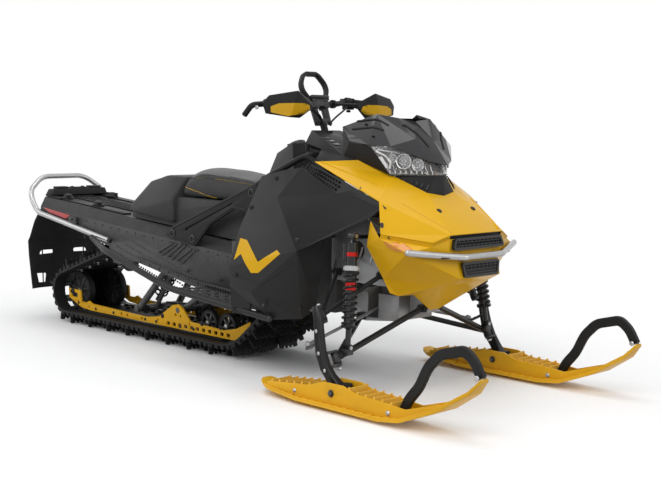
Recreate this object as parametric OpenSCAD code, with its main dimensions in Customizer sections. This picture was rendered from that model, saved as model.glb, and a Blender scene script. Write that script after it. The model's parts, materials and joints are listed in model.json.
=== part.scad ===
// Mountain snowmobile: one wide lugged track under a tunnel, two steered skis in front.
// X points forward, Y to the rider's left, Z up. The ground is Z = 0 and the origin is the
// centre of the machine's footprint box. Inside the modules X is counted from the ski bolt.

/* [Skis and steering] */
// Distance between the centre lines of the two skis
ski_stance = 912; // [760:1:1100]
// Width of a ski
ski_w = 150; // [120:1:180]
// Height of the ski bolt above the ground
bolt_z = 62; // [56:1:80]
// Radius of the ski bolt
bolt_r = 8; // [6:0.5:10]
// Lean of the spindles back from vertical, in degrees
caster = 27; // [20:1:30]
// Length of the steering arms behind the spindle axis
steer_arm = 85; // [70:1:100]
// Distance between the two ends of the handlebar
bar_w = 768; // [650:1:900]
// Lean of the steering post back from vertical, in degrees
post_rake = 22; // [16:1:28]

/* [Track and skid] */
// Width of the track
track_w = 381; // [320:1:460]
// Height of the track's lugs
lug_h = 51; // [35:1:62]
// Thickness of the track's belt
belt_t = 10; // [7:0.5:14]
// Distance along the ground from the rear axle to the front curve
contact_l = 1123; // [940:1:1340]
// Number of lug rows round the track
lug_rows = 47; // [38:1:56]
// Thickness of each slide rail
rail_t = 8; // [6:0.5:12]
// Distance between the outer faces of the two rails
rail_gauge = 280; // [250:1:300]

/* [Tunnel and boards] */
// Thickness of the tunnel sheet
sheet_t = 4; // [3:0.5:6]
// Free space between the track and each tunnel wall
track_gap = 6; // [6:0.5:10]
// Distance between the outer edges of the two running boards
boards_w = 780; // [720:1:860]
// Radius of the tube along each running board
board_tube_r = 13; // [10:0.5:16]
// Radius of the rear bumper tube
bumper_r = 12.5; // [10:0.5:15]

/* [Body] */
// Width over the side panels
body_w = 820; // [760:1:880]
// Thickness of the body panels
panel_t = 4; // [3:0.5:6]
// Height of the mountain strap above the handlebar
strap_h = 118; // [95:1:145]

/* [Hidden] */
$fn = 32;

// ---------- places along the machine, from the ski bolt ----------
pin_gap = 0.05;           // radial running clearance of a pin in its bore
seat_gap = 0.3;           // gap between pieces that rest on each other
move_gap = 5;             // free space round anything that moves
x_curve = -965;           // where the flat of the track ends and the front curve begins
x_rear = x_curve - contact_l;
x_drive = -711;           // drive axle
z_drive = lug_h + 255;
drive_r = 82;             // outside of the belt on the drive sprockets
curve_r = 225;            // outside of the belt on the rails' front curve
carrier_r = 66;           // outside of the belt on the carrier wheels
rear_r = 100;             // outside of the belt on the rear wheels
x_carrier = x_rear + 448;
z_carrier = lug_h + 295;
tunnel_end = x_rear - 187;       // rear end of the tunnel
tunnel_front = -560;
z_tunnel_front = 463;            // top of the tunnel's slope at its front end
tunnel_slope = 4.36;             // fall of the tunnel towards the front, degrees
tunnel_w = track_w + 2 * (track_gap + sheet_t);
x_tail = tunnel_end - 130;       // rearmost point, on the snow flap
x_tip = 616;                     // foremost point, on the ski tips
x_mid = (x_tail + x_tip) / 2;

function tunnel_top(x) = z_tunnel_front + (tunnel_front - x) * tan(tunnel_slope);
function unit(v) = v / norm(v);
function sum(v, i = 0) = i >= len(v) ? [0, 0, 0] : v[i] + sum(v, i + 1);

// ---------- small builders ----------
// A round bar from a to b; turn sets where its seam lies
module rod(a, b, r, turn = 0) {
    d = b - a;
    l = norm(d);
    translate(a) rotate([0, acos(d[2] / l), atan2(d[1], d[0])]) rotate([0, 0, turn]) cylinder(h = l, r = r);
}
// A tube bent through the points, with a ball at each elbow that covers where its rods meet
function half_bend(a, b, c) = let (u = unit(b - a), v = unit(c - b)) acos(min(1, u * v)) / 2;
module bent_tube(pts, r) {
    n = len(pts);
    half = [for (i = [0 : n - 1]) i == 0 || i == n - 1 ? 0 : half_bend(pts[i - 1], pts[i], pts[i + 1])];
    back = [for (h = half) h == 0 ? 0 : r * tan(h) + 0.05];
    for (i = [0 : n - 2]) let (d = unit(pts[i + 1] - pts[i]))
        rod(pts[i] + back[i] * d, pts[i + 1] - back[i + 1] * d, r);
    for (i = [1 : n - 2]) translate(pts[i]) sphere(r / cos(half[i]) + 0.3);
}
// A tube bent through the points with mitred corners: each ring of points slides along its own
// straight onto the plane that halves the next bend
pipe_n = 24;
function bisector(p, i) = i == 0 ? unit(p[1] - p[0]) : i == len(p) - 1 ? unit(p[i] - p[i - 1])
    : unit(unit(p[i] - p[i - 1]) + unit(p[i + 1] - p[i]));
function first_ring(p, r) = let (d = unit(p[1] - p[0]), u = unit(cross(d, [0.1, 0.2, 1])), w = cross(d, u))
    [for (k = [0 : pipe_n - 1]) p[0] + r * cos(360 * k / pipe_n) * u + r * sin(360 * k / pipe_n) * w];
function rings(p, r, i) = i == 0 ? [first_ring(p, r)]
    : let (before = rings(p, r, i - 1), d = unit(p[i] - p[i - 1]), n = bisector(p, i))
        concat(before, [[for (q = before[i - 1]) q + d * (((p[i] - q) * n) / (d * n))]]);
module pipe(pts, r) {
    n = pipe_n;
    m = len(pts);
    polyhedron(
        points = flat(rings(pts, r, m - 1)),
        faces = concat(
            [[for (k = [0 : n - 1]) k], [for (k = [n - 1 : -1 : 0]) (m - 1) * n + k]],
            [for (i = [0 : m - 2], k = [0 : n - 1]) let (j = (k + 1) % n)
                [i * n + k, (i + 1) * n + k, (i + 1) * n + j, i * n + j]]),
        convexity = 6);
}
// An XZ outline made solid between two Y positions
module slab(y0, y1) translate([0, y1, 0]) rotate([90, 0, 0]) linear_extrude(y1 - y0) children();
// A YZ outline made solid between two X positions
module rib(x0, x1) translate([x0, 0, 0]) rotate([90, 0, 90]) linear_extrude(x1 - x0) children();
// A cylinder along Y between two Y positions
module pin_y(x, z, y0, y1, r) translate([x, y0, z]) rotate([-90, 0, 0]) cylinder(h = y1 - y0, r = r);
module both_sides() { children(); mirror([0, 1, 0]) children(); }
module mirrored(left) { if (left) mirror([0, 1, 0]) children(); else children(); }
module placed() translate([-x_mid, 0, 0]) children();

// A panel of even thickness: points on its outside, and triangles seen anticlockwise from outside.
// The inside is each point moved in along the mean of the normals that meet there.
function tri_normal(p, f) = cross(p[f[1]] - p[f[0]], p[f[2]] - p[f[0]]);
function corner_normal(p, tris, i) =
    unit(sum([for (f = tris) if (f[0] == i || f[1] == i || f[2] == i) unit(tri_normal(p, f))]));
function fan(poly) = [for (k = [1 : len(poly) - 2]) [poly[0], poly[k], poly[k + 1]]];
function flat(lists) = [for (l = lists) for (x = l) x];
function has_edge(tris, a, b) =
    len([for (f = tris) for (k = [0 : 2]) if (f[k] == a && f[(k + 1) % 3] == b) 1]) > 0;
module panel(p, polys, t) {
    tris = flat([for (q = polys) fan(q)]);
    n = len(p);
    inner = [for (i = [0 : n - 1]) p[i] - t * corner_normal(p, tris, i)];
    rim = [for (f = tris) for (k = [0 : 2])
        let (a = f[k], b = f[(k + 1) % 3]) if (!has_edge(tris, b, a)) [a, b]];
    polyhedron(
        points = concat(p, inner),
        faces = concat(
            [for (f = tris) [f[2], f[1], f[0]]],
            [for (f = tris) [f[0] + n, f[1] + n, f[2] + n]],
            flat([for (e = rim) [[e[0], e[1], e[1] + n], [e[0], e[1] + n, e[0] + n]]])),
        convexity = 6);
}
// A symmetric panel from its right half: points with Y = 0 are shared by both halves
function partner(p, i) = p[i][1] == 0 ? i : len(p) + len([for (k = [0 : len(p) - 1]) if (k < i && p[k][1] != 0) 1]);
function whole_points(p) = concat(p, [for (v = p) if (v[1] != 0) [v[0], -v[1], v[2]]]);
function whole_faces(p, polys) =
    concat(polys, [for (q = polys) [for (k = [len(q) - 1 : -1 : 0]) partner(p, q[k])]]);
// The same points on the other side of the machine, and the faces turned to match
function other_side(p) = [for (v = p) [v[0], -v[1], v[2]]];
function turned(polys, shift = 0) = [for (q = polys) [for (k = [len(q) - 1 : -1 : 0]) q[k] + shift]];

// ---------- track path ----------
// Circles that the outside of the belt wraps: rear wheels, rail curve, drive, carrier wheels
wraps = [[x_rear, lug_h + rear_r, rear_r], [x_curve, lug_h + curve_r, curve_r],
    [x_drive, z_drive, drive_r], [x_carrier, z_carrier, carrier_r]];
function run_angle(i, off) =
    let (a = wraps[i], b = wraps[(i + 1) % 4], d = [b[0] - a[0], b[1] - a[1]])
    atan2(d[1], d[0]) + asin((a[2] - b[2]) / norm(d));
function up_to(a, b) = b < a ? up_to(a, b + 360) : b;
arc_steps = 14;
// Points of the belt's path, off outside the belt, each with its outward direction
function belt_path(off) = flat([for (i = [0 : 3])
    let (into = run_angle((i + 3) % 4, off) - 90, out = up_to(into, run_angle(i, off) - 90))
    [for (k = [0 : arc_steps]) let (a = into + (out - into) * k / arc_steps)
        [wraps[i][0] + (wraps[i][2] + off) * cos(a), wraps[i][1] + (wraps[i][2] + off) * sin(a),
            cos(a), sin(a)]]]);
path = belt_path(0);
steps = [for (i = [0 : len(path) - 1]) let (a = path[i], b = path[(i + 1) % len(path)])
    norm([b[0] - a[0], b[1] - a[1]])];
function running(v, i = 0, so_far = 0) = i > len(v) ? []
    : concat([so_far], i == len(v) ? [] : running(v, i + 1, so_far + v[i]));
marks = running(steps);
belt_l = marks[len(path)];
function column_of(k) = [for (i = [0 : len(path)]) [marks[i], path[i % len(path)][k]]];
tables = [for (k = [0 : 3]) column_of(k)];
function on_belt(s, off) = let (q = s < 0 ? s + belt_l : s > belt_l ? s - belt_l : s)
    [lookup(q, tables[0]) + off * lookup(q, tables[2]), lookup(q, tables[1]) + off * lookup(q, tables[3])];
lug_w = 20;
lug_pitch = belt_l / lug_rows;

module track() color([0.06, 0.06, 0.065]) slab(-track_w / 2, track_w / 2) difference() {
    polygon([for (i = [0 : lug_rows - 1]) let (s = (i + 0.5) * lug_pitch)
        each [on_belt(s - lug_w / 2, 0), on_belt(s - lug_w * 0.3, lug_h), on_belt(s + lug_w * 0.3, lug_h),
            on_belt(s + lug_w / 2, 0), on_belt(s + lug_pitch * 0.4, 0), on_belt(s + lug_pitch * 0.6, 0)]]);
    polygon([for (q = belt_path(-belt_t)) [q[0], q[1]]]);
}

// ---------- skid ----------
rail_y = rail_gauge / 2;
shoe_h = 12;                                  // slider under each rail
z_rail = lug_h + belt_t + seat_gap;           // underside of the sliders
axle_r = 12;
wheel_w = 26;
wheel_gap = 0.9;                              // the belt's inside is made of short flats
rail_holes = [for (i = [0 : 8]) x_curve - 350 + i * 40];
arm_foot_x = x_curve - 325;                   // pivots of the swing arms on the rails
arm_foot_z = z_rail + 93;
rear_foot_x = x_curve - 640;
module rail_outline() difference() {
    polygon([[x_rear - 36, z_rail + 100], [x_rear + 62, z_rail + 98], [x_rear + 68, z_rail + 46],
        [x_rear + 270, z_rail + 44], [x_curve - 545, z_rail + 36], [x_curve - 455, z_rail + 50],
        [x_curve - 360, z_rail + 112], [x_curve - 320, z_rail + 120], [x_curve - 290, z_rail + 104],
        [x_curve - 240, z_rail + 54], [x_curve - 20, z_rail + 46], [x_curve + 60, z_rail + 62],
        [x_curve + 146, z_rail + 102], [x_curve + 150, z_rail + 62], [x_curve + 95, z_rail + 26],
        [x_curve + 45, z_rail + shoe_h], [x_rear + 150, z_rail + shoe_h], [x_rear + 72, z_rail + 18],
        [x_rear - 30, z_rail + 56]]);
    translate([x_rear - 10, z_rail + 62]) square([48, 22]);
    translate([arm_foot_x, z_rail + 60]) circle(13);
}
module slide_rails() color([0.86, 0.58, 0.05]) both_sides() {
    difference() {
        slab(-rail_y, -rail_y + rail_t) rail_outline();
        for (x = rail_holes) pin_y(x, z_rail + 27, -rail_y - 1, -rail_y + rail_t + 1, 7);
        pin_y(x_rear, lug_h + rear_r, -rail_y - 1, -rail_y + rail_t + 1, axle_r);
        pin_y(arm_foot_x, arm_foot_z, -rail_y - 1, -rail_y + rail_t + 1, axle_r);
    }
    // slider under the rail
    translate([x_rear + 120, -rail_y - 8, z_rail])
        cube([contact_l - 112, rail_t + 16, shoe_h]);
}
module wheel(x, z, y, r, w) {
    difference() {
        pin_y(x, z, y - w / 2, y + w / 2, r);
        pin_y(x, z, y - w / 2 - 1, y - w / 2 + w * 0.3, r * 0.78);
        pin_y(x, z, y + w / 2 - w * 0.3, y + w / 2 + 1, r * 0.78);
    }
    pin_y(x, z, y - w / 2, y + w / 2, r * 0.3);
}
module rear_wheels() color([0.1, 0.1, 0.1]) {
    pin_y(x_rear, lug_h + rear_r, -rail_y - 8, rail_y + 8, axle_r - seat_gap);
    for (y = [-92, 92]) wheel(x_rear, lug_h + rear_r, y, rear_r - belt_t - wheel_gap, wheel_w + 6);
}
idler_r = 56;
idlers = [[x_curve - 430, 95], [x_curve - 160, 95], [x_curve - 40, 95]];
module idler_wheels() color([0.1, 0.1, 0.1]) {
    for (q = idlers) {
        for (s = [-1, 1]) wheel(q[0], z_rail + idler_r, s * q[1], idler_r, wheel_w);
        pin_y(q[0], z_rail + idler_r, -rail_y + rail_t + seat_gap, rail_y - rail_t - seat_gap, axle_r);
    }
    for (s = [-1, 1]) wheel(x_carrier, z_carrier, s * 140, carrier_r - belt_t - wheel_gap, wheel_w);
    pin_y(x_carrier, z_carrier, -tunnel_w / 2 + sheet_t + seat_gap, tunnel_w / 2 - sheet_t - seat_gap, axle_r);
}
// Swing arms and dampers between the tunnel and the rails
arm_top = [x_drive - 300, 330];
rear_top = [x_carrier + 240, z_carrier + 13];
module skid_arms() color([0.09, 0.09, 0.09]) {
    inner_y = rail_y - rail_t - seat_gap;
    for (s = [-1, 1]) {
        rod([arm_foot_x, s * (inner_y - 20), arm_foot_z], [arm_top[0], s * 110, arm_top[1]], 14);
        rod([rear_foot_x, s * (inner_y - 20), z_rail + 60], [rear_top[0], s * 80, rear_top[1]], 16);
        rod([rear_foot_x + 60, s * 60, z_rail + 70], [rear_top[0], s * 60, rear_top[1]], 10);
    }
    pin_y(arm_foot_x, arm_foot_z, -rail_y - 6, rail_y + 6, axle_r - seat_gap);
    pin_y(arm_top[0], arm_top[1], -tunnel_w / 2 + sheet_t + seat_gap, tunnel_w / 2 - sheet_t - seat_gap, 15);
    pin_y(rear_foot_x, z_rail + 60, -inner_y, inner_y, 15);
    pin_y(rear_foot_x + 60, z_rail + 70, -62, 62, 13);
    rod([rear_foot_x, -62, z_rail + 60], [rear_foot_x + 60, -62, z_rail + 70], 10);
    rod([rear_foot_x, 62, z_rail + 60], [rear_foot_x + 60, 62, z_rail + 70], 10);
    pin_y(rear_top[0], rear_top[1], -tunnel_w / 2 + sheet_t + seat_gap, tunnel_w / 2 - sheet_t - seat_gap, 15);
    // dampers
    rod([arm_foot_x, 0, arm_foot_z], [arm_top[0] - 60, 0, arm_top[1] - 30], 22);
    rod([arm_top[0] - 60, 0, arm_top[1] - 30], [arm_top[0], 0, arm_top[1]], 12);
    rod([rear_foot_x + 60, 0, z_rail + 76], [arm_foot_x - 40, 0, z_rail + 91], 14);
    rod([arm_foot_x - 40, 0, z_rail + 91], [arm_foot_x, 0, arm_foot_z], 10);
}
module drive_axle() color([0.12, 0.12, 0.12]) {
    pin_y(x_drive, z_drive, -tunnel_w / 2 + sheet_t + seat_gap, tunnel_w / 2 - sheet_t - seat_gap, 14);
    for (y = [-70, 70]) wheel(x_drive, z_drive, y, drive_r - belt_t - wheel_gap, 40);
}

// ---------- tunnel, boards, rear ----------
half_w = tunnel_w / 2;
shoulder_w = 25;
shoulder_h = 46;
foot = [[tunnel_end - 1, 512], [x_carrier - 73, 402], [x_carrier - 40, 330], [x_carrier + 60, 330], [x_carrier + 117, 352], [x_curve - 92, 274],
    [x_curve + 84, 256], [tunnel_front + 1, 232]];      // lower edge of the tunnel walls
module in_tunnel_frame() translate([tunnel_front, 0, z_tunnel_front]) rotate([0, tunnel_slope, 0]) children();
tunnel_l = (tunnel_front - tunnel_end) / cos(tunnel_slope);
module channel(out, drop) polygon([[-out, -drop], [-out, -shoulder_h], [-out + shoulder_w, 0],
    [out - shoulder_w, 0], [out, -shoulder_h], [out, -drop]]);
// The tunnel stands taller over the drive sprockets
front_box = [x_curve + 95, 497];
box_step = 0.2;
rack_x = tunnel_end + 380;       // where the two cargo bolts stand
rack_dy = 220;
rack_r = 5.5;
module tunnel() color([0.07, 0.07, 0.075]) difference() {
    union() {
        in_tunnel_frame() rib(-tunnel_l - 30, 30) channel(half_w, 330);
        translate([front_box[0], -half_w - box_step, 200])
            cube([tunnel_front - front_box[0], tunnel_w + 2 * box_step, front_box[1] - 200]);
    }
    translate([0, 0, -sheet_t]) in_tunnel_frame() rib(-tunnel_l - 40, 10) channel(half_w - sheet_t, 400);
    translate([front_box[0] + sheet_t, -half_w - box_step + sheet_t, 100])
        cube([tunnel_front + 50 - front_box[0], tunnel_w + 2 * box_step - 2 * sheet_t, front_box[1] - sheet_t - 100]);
    translate([tunnel_end - 100, -300, 0]) cube([100, 600, 900]);
    translate([tunnel_front, -300, 0]) cube([100, 600, 900]);
    slab(-half_w - 5, half_w + 5) polygon(concat(foot, [[tunnel_front + 60, 228], [tunnel_front + 60, -50],
        [tunnel_end - 60, -50], [tunnel_end - 60, 512]]));
    for (j = [-1, 1])
        translate([rack_x, j * rack_dy / 2, tunnel_top(rack_x) - 50]) cylinder(h = 100, r = rack_r);
}

board_y = boards_w / 2 - board_tube_r;
board_start_y = half_w + 2 * bumper_r + board_tube_r + seat_gap - 0.5;
board_tube = [[x_carrier - 155, -board_start_y, 438], [x_carrier + 117, -board_y + 13, 412],
    [x_curve - 92, -board_y, 298], [x_curve + 317, -board_y, 265], [x_curve + 510, -board_y, 250]];
board_t = 6;
board_bar = 14;              // width of the bars between the board's windows
// One flat piece of the board between two points of the tube, leaning in and open between its bars
module board_piece(a, b, lean, across_n, along_n) {
    l = norm([b[0] - a[0], b[2] - a[2]]);
    w = (-a[1] - half_w - seat_gap - board_t / 2 * sin(lean)) / cos(lean);
    out = (a[1] - b[1]) / cos(lean);
    translate(a) rotate([0, -atan2(b[2] - a[2], b[0] - a[0]), 0]) rotate([-lean, 0, 0])
        translate([0, 0, -board_t / 2]) linear_extrude(board_t) difference() {
            edge = board_tube_r + 1.2;
            polygon([[0, edge], [0, w], [l - 1, w], [l - 1, edge - out]]);
            step = (l - board_bar) / along_n;
            row = (w - board_bar - edge) / across_n;
            for (i = [0 : along_n - 1], j = [0 : across_n - 1])
                translate([board_bar + i * step, board_bar + edge + j * row])
                    square([step - board_bar, row - board_bar]);
        }
}
module running_boards() color([0.08, 0.08, 0.085]) both_sides() {
    pipe(board_tube, board_tube_r);
    board_piece(board_tube[1], board_tube[2], 11, 3, 8);
    board_piece(board_tube[2], board_tube[3], 5, 3, 7);
}

module rear_bumper() color([0.75, 0.76, 0.78]) {
    y_in = half_w + bumper_r + seat_gap;
    side = [[x_carrier - 60, -y_in, 430], [tunnel_end - 3, -y_in, 520], [tunnel_end - 55, -y_in + 2, 570],
        [tunnel_end - 80, -y_in + 8, 622], [tunnel_end - 112, -122, 685]];
    bent_tube(concat(side, [for (i = [4 : -1 : 0]) [side[i][0], -side[i][1], side[i][2]]]), bumper_r);
}
hitch_r = 9;
flap_w = 430;
flap_t = 6;
flap_top = [tunnel_end - flap_t - seat_gap, 540];
module flap_profile() let (a = flap_top, b = [x_tail, 372], c = [x_tail + 40, 125])
    polygon([a, b, c, [c[0] + flap_t, c[1]], [b[0] + flap_t, b[1]], [a[0] + flap_t, a[1]]]);
module snow_flap() color([0.05, 0.05, 0.05]) difference() {
    slab(-flap_w / 2, flap_w / 2) flap_profile();
    both_sides() translate([tunnel_end - 90, half_w, 470]) cube([100, 60, 100]);
    for (s = [-1, 1]) {
        translate([x_tail - 50, s * 105 - 45, 318]) cube([150, 90, 24]);
        translate([x_tail - 50, s * 130 - 40, 165]) cube([150, 80, 60]);
    }
}
module tail_lights() color([0.7, 0.05, 0.06]) {
    both_sides() slab(-half_w - 5, -half_w - seat_gap)
        polygon([[tunnel_end + 27, 545], [tunnel_end + 254, 520], [tunnel_end + 218, 502], [tunnel_end + 76, 524]]);
    translate([tunnel_end - 20, -70, 562]) cube([20 - seat_gap, 140, 34]);
}
brace = [[-1294, 485], [-1250, 524], [-721, 738], [-640, 748], [-640, 640], [-764, 620], [-847, 627],
    [-990, 556], [-1093, 455]];
module tunnel_braces() color([0.1, 0.1, 0.105]) both_sides() slab(-half_w - 14, -half_w - seat_gap) difference() {
    polygon(brace);
    polygon([[-1156, 520], [-850, 649], [-850, 643], [-1150, 512]]);
}

// ---------- seat group ----------
module corners(list, size = 4) hull() for (s = [-1, 1], q = list) translate([q[0], s * q[1], q[2]]) cube(size, center = true);
tank_z = front_box[1] + seat_gap + 2;
module fuel_tank() color([0.085, 0.085, 0.09]) difference() {
    union() {
        corners([[-1594, 150, 575], [-1582, 165, 546], [-1279, 165, 522], [-900, 165, tank_z],
            [-1500, 138, 634], [-1270, 132, 646], [-900, 150, 646]]);
        corners([[-905, 165, tank_z], [-905, 150, 646], [-800, 165, tank_z], [-800, 150, 646]]);
        corners([[-802, 165, tank_z], [-802, 150, 646], [-620, 165, tank_z], [-620, 165, 700], [-780, 150, 655]]);
        corners([[-790, 140, 640], [-770, 60, 800], [-745, 70, 852], [-650, 80, 895], [-600, 120, 800], [-600, 160, 680]]);
    }
    translate([tunnel_front - 400, -300, front_box[1] + seat_gap - 100]) cube([500, 600, 100]);
}
module rear_trunk() color([0.075, 0.075, 0.08])
    corners([[-1490, 110, 639], [-1320, 118, 648], [-1510, 96, 706], [-1470, 60, 728], [-1360, 70, 726], [-1315, 92, 715]]);
module seat() color([0.1, 0.1, 0.1])
    hull() for (s = [-1, 1]) {
        for (q = [[-1282, 110, 660.3], [-830, 128, 660.3]]) translate([q[0], s * q[1], q[2]]) sphere(12, $fn = 16);
        for (q = [[-1290, 104, 700], [-830, 118, 700]]) translate([q[0], s * q[1], q[2]]) sphere(14, $fn = 16);
        for (q = [[-1240, 84, 752], [-1080, 88, 752], [-826, 88, 728]])
            translate([q[0], s * q[1], q[2]]) sphere(18, $fn = 16);
    }

// ---------- body panels ----------
wide = body_w / 820;
// Right side panel: the outline points on its outside
side_pts = [for (v = [[-588, -300, 774], [-480, -296, 800], [-389, -286, 815], [-345, -272, 803],
    [-215, -280, 728], [-150, -268, 742], [-5, -258, 692], [-20, -300, 656], [-285, -405, 520],
    [-525, -408, 346], [-650, -402, 352], [-655, -402, 428], [-640, -372, 560], [-240, -300, 560],
    [-648, -392, 250], [-470, -364, 241], [-335, -322, 257], [-285, -300, 300], [-470, -330, 700],
    [-500, -400, 470]]) [v[0], v[1] * wide, v[2]]];
side_faces = [[0, 12, 18, 1], [1, 18, 2], [2, 18, 4, 3], [18, 8, 4], [4, 8, 6, 5], [6, 8, 7],
    [12, 11, 19, 18], [19, 8, 18], [11, 10, 9, 19], [19, 9, 8], [8, 13, 7], [8, 9, 16, 17],
    [8, 17, 13], [10, 14, 15, 9], [9, 15, 16]];
module side_panel(left) color([0.1, 0.1, 0.105]) mirrored(left) difference() {
    panel(side_pts, side_faces, panel_t);
    rod(board_tube[3] - [150, 0, -15], board_tube[4] + [60, 0, -4], board_tube_r + 2);
}

hood_pts = [for (v = [[-357, -250, 838], [-206, -170, 848], [-63, -142, 798], [46, -76, 738],
    [218, -150, 603], [-20, -262, 712], [193, -216, 578], [39, -316, 602], [0, -256, 688]])
    [v[0], v[1] * wide, v[2]]];
hood_half = [[0, 5, 2, 1], [5, 4, 3, 2], [5, 8, 7, 4], [4, 7, 6]];
hood_n = len(hood_pts);
hood_all = concat(hood_pts, other_side(hood_pts));
module hood() color([0.95, 0.65, 0.05])
    panel(hood_all, concat(hood_half, turned(hood_half, hood_n), [[3, 4, 4 + hood_n, 3 + hood_n]]), panel_t);

nose_pts = [for (v = [[-14, -310, 642], [36, -318, 588], [188, -218, 563], [212, -150, 588],
    [214, -150, 545], [222, -118, 512], [236, -116, 450], [150, -300, 545], [-27, -312, 555], [8, -262, 440],
    [20, -236, 386], [34, -205, 374], [36, -125, 371], [30, -26, 306], [170, -140, 420]])
    [v[0], v[1] * wide, v[2]]];
nose_half = [[1, 0, 8, 7], [1, 7, 2], [2, 7, 4], [2, 4, 3], [7, 5, 4], [7, 8, 9], [7, 9, 14],
    [7, 14, 6, 5], [9, 10, 11, 14], [11, 12, 14], [12, 13, 14]];
nose_n = len(nose_pts);
nose_all = concat(nose_pts, other_side(nose_pts));
module nose_fascia() color([0.93, 0.63, 0.05])
    panel(nose_all, concat(nose_half, turned(nose_half, nose_n),
        [[3, 4, 4 + nose_n, 3 + nose_n], [4, 5, 5 + nose_n, 4 + nose_n], [5, 6, 6 + nose_n, 5 + nose_n],
         [6, 14, 14 + nose_n, 6 + nose_n], [14, 13, 13 + nose_n, 14 + nose_n]]), panel_t);

bumper_y = 110;
module front_bumper() color([0.72, 0.73, 0.75]) {
    both_sides() hull() {
        translate([157, -305 * wide, 546]) sphere(8, $fn = 20);
        translate([250, -bumper_y, 526]) sphere(13, $fn = 20);
    }
    hull() for (s = [-1, 1]) translate([250, s * bumper_y, 526]) sphere(13, $fn = 20);
}
module grilles() color([0.05, 0.05, 0.05]) {
    hull() for (s = [-1, 1]) {
        translate([216, s * 130, 584]) cube([6, 6, 6], center = true);
        translate([221, s * 140, 556]) cube([6, 6, 6], center = true);
    }
    hull() for (s = [-1, 1]) {
        translate([233, s * 100, 500]) cube([6, 6, 6], center = true);
        translate([238, s * 92, 458]) cube([6, 6, 6], center = true);
    }
}
module headlight() color([0.8, 0.82, 0.85]) hull() for (s = [-1, 1]) {
    for (q = [[-120, 196, 900], [-60, 158, 799.5], [-60, 172, 890], [40, 30, 800], [40, 30, 842], [-60, 40, 806], [-60, 40, 880]])
        translate([q[0], s * q[1], q[2]]) cube(4, center = true);
}
screen_pts = [[-292, -172, 968], [-172, -112, 1018], [-90, -84, 1004], [-60, -30, 994], [-15, 0, 1004],
    [-8, -86, 930], [8, 0, 922], [76, 0, 836], [44, -60, 850], [-50, -172, 902], [-130, -204, 906], [-230, -196, 915]];
screen_half = [[0, 11, 10, 1], [1, 10, 9, 5], [1, 5, 2], [2, 5, 3], [5, 9, 8], [3, 5, 6, 4], [5, 8, 7, 6]];
module windshield() color([0.2, 0.2, 0.21])
    panel(whole_points(screen_pts), whole_faces(screen_pts, screen_half), panel_t);
module console() color([0.12, 0.12, 0.125]) difference() {
    union() {
        hull() for (s = [-1, 1], q = [[-545, 75, 948], [-521, 130, 902], [-275, 176, 858], [-545, 70, 880]])
            translate([q[0], s * q[1], q[2]]) cube(4, center = true);
        // feet on the frame
        both_sides() translate(frame_peak + [0, 0, frame_r * 1.2]) cylinder(h = 24, r = 8);
    }
    on_post() translate([0, 0, -200]) cylinder(h = 300, r = post_r + move_gap + 2);
}
module gauge() color([0.05, 0.05, 0.06]) translate([-372, -60, 893.2]) rotate([0, -35, 0]) cube([10, 120, 56]);

engine_half = 170;
pan_w = 190;                   // belly channel between the arms' feet
nose_w = 64;
window = [-214, -160];         // opening for the tie rods in each wall of the belly channel
wing_y = 188;
wing_t = 6;
v_plate = -306;
module bulkhead() color([0.62, 0.63, 0.64]) {
    difference() {
        union() {
            slab(-pan_w / 2, pan_w / 2) polygon([[v_plate, 252], [-225, 242], [-60, 260], [-60, 352], [v_plate, 352]]);
            slab(-nose_w / 2, nose_w / 2) polygon([[-61, 276], [23, 294], [23, 345], [-61, 352]]);
        }
        slab(-pan_w / 2 + 6, pan_w / 2 - 6) polygon([[v_plate - 1, 260], [-225, 250], [-66, 267], [-66, 353], [v_plate - 1, 353]]);
        translate([window[0], -pan_w, 258]) cube([window[1] - window[0], 2 * pan_w, 108]);
    }
    // cross plate and the two wings that carry the upper arms
    rib(v_plate - 6, v_plate) difference() {
        polygon([[-pan_w / 2, 252], [-pan_w / 2, 345], [-wing_y - wing_t, 440], [-wing_y - wing_t, 620],
            [wing_y + wing_t, 620], [wing_y + wing_t, 440], [pan_w / 2, 345], [pan_w / 2, 252]]);
        polygon([[-60, 350], [-60, 560], [60, 560], [60, 350]]);
    }
    both_sides() slab(-wing_y - wing_t, -wing_y) difference() {
        polygon([[v_plate - 3, 400], [-36, 400], [-24, 440], [-60, 600], [-140, 640], [v_plate - 3, 620]]);
        translate([-180, 520]) circle(34);
    }
}
// Short pins that hold the body panels to each other and to the frame
clip_r = 6;
module panel_clips() color([0.15, 0.15, 0.15]) both_sides() {
    for (q = clips) pipe(q, clip_r);
}
clips = [
    [[-300, -wing_y - wing_t - seat_gap, 560], [-300, -wide * 392, 560]],
    [[-470, -engine_half - seat_gap, 300], [-470, -wide * 396, 300]],
    [[-120, -wide * 226, 722], [-120, -wide * 254, 752]],
    [[-70, -wing_y - wing_t - seat_gap, 560], [-70, -wide * 250, 560], [-10, -wide * 300, 575]],
    [[30, -wide * 290, 590], [30, -wide * 300, 640]]];
module frame_tubes() color([0.1, 0.1, 0.1]) {
    outer = half_w + 14 + frame_r + 0.9;
    both_sides() pipe([[-692, -outer, 735], [-640, -outer, 764], frame_peak, [-150, -140, 650]], frame_r);
    both_sides() rod(frame_peak + [0, frame_r + 0.4, 0], [frame_peak[0], -bearing_w / 2 - seat_gap, frame_peak[2]], 9);
}
// Block across the frame that carries the steering post
module post_bearing() color([0.3, 0.3, 0.32]) on_post() difference() {
    translate([-20, -bearing_w / 2, bearing_at - 12]) cube([40, bearing_w, 24]);
    translate([0, 0, bearing_at - 60]) cylinder(h = 120, r = post_r + pin_gap);
}
engine_box = [[tunnel_front + seat_gap, -engine_half, 265], [v_plate - 6 - seat_gap, engine_half, 640]];
module engine() color([0.35, 0.35, 0.36]) translate(engine_box[0]) cube(engine_box[1] - engine_box[0]);

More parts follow.
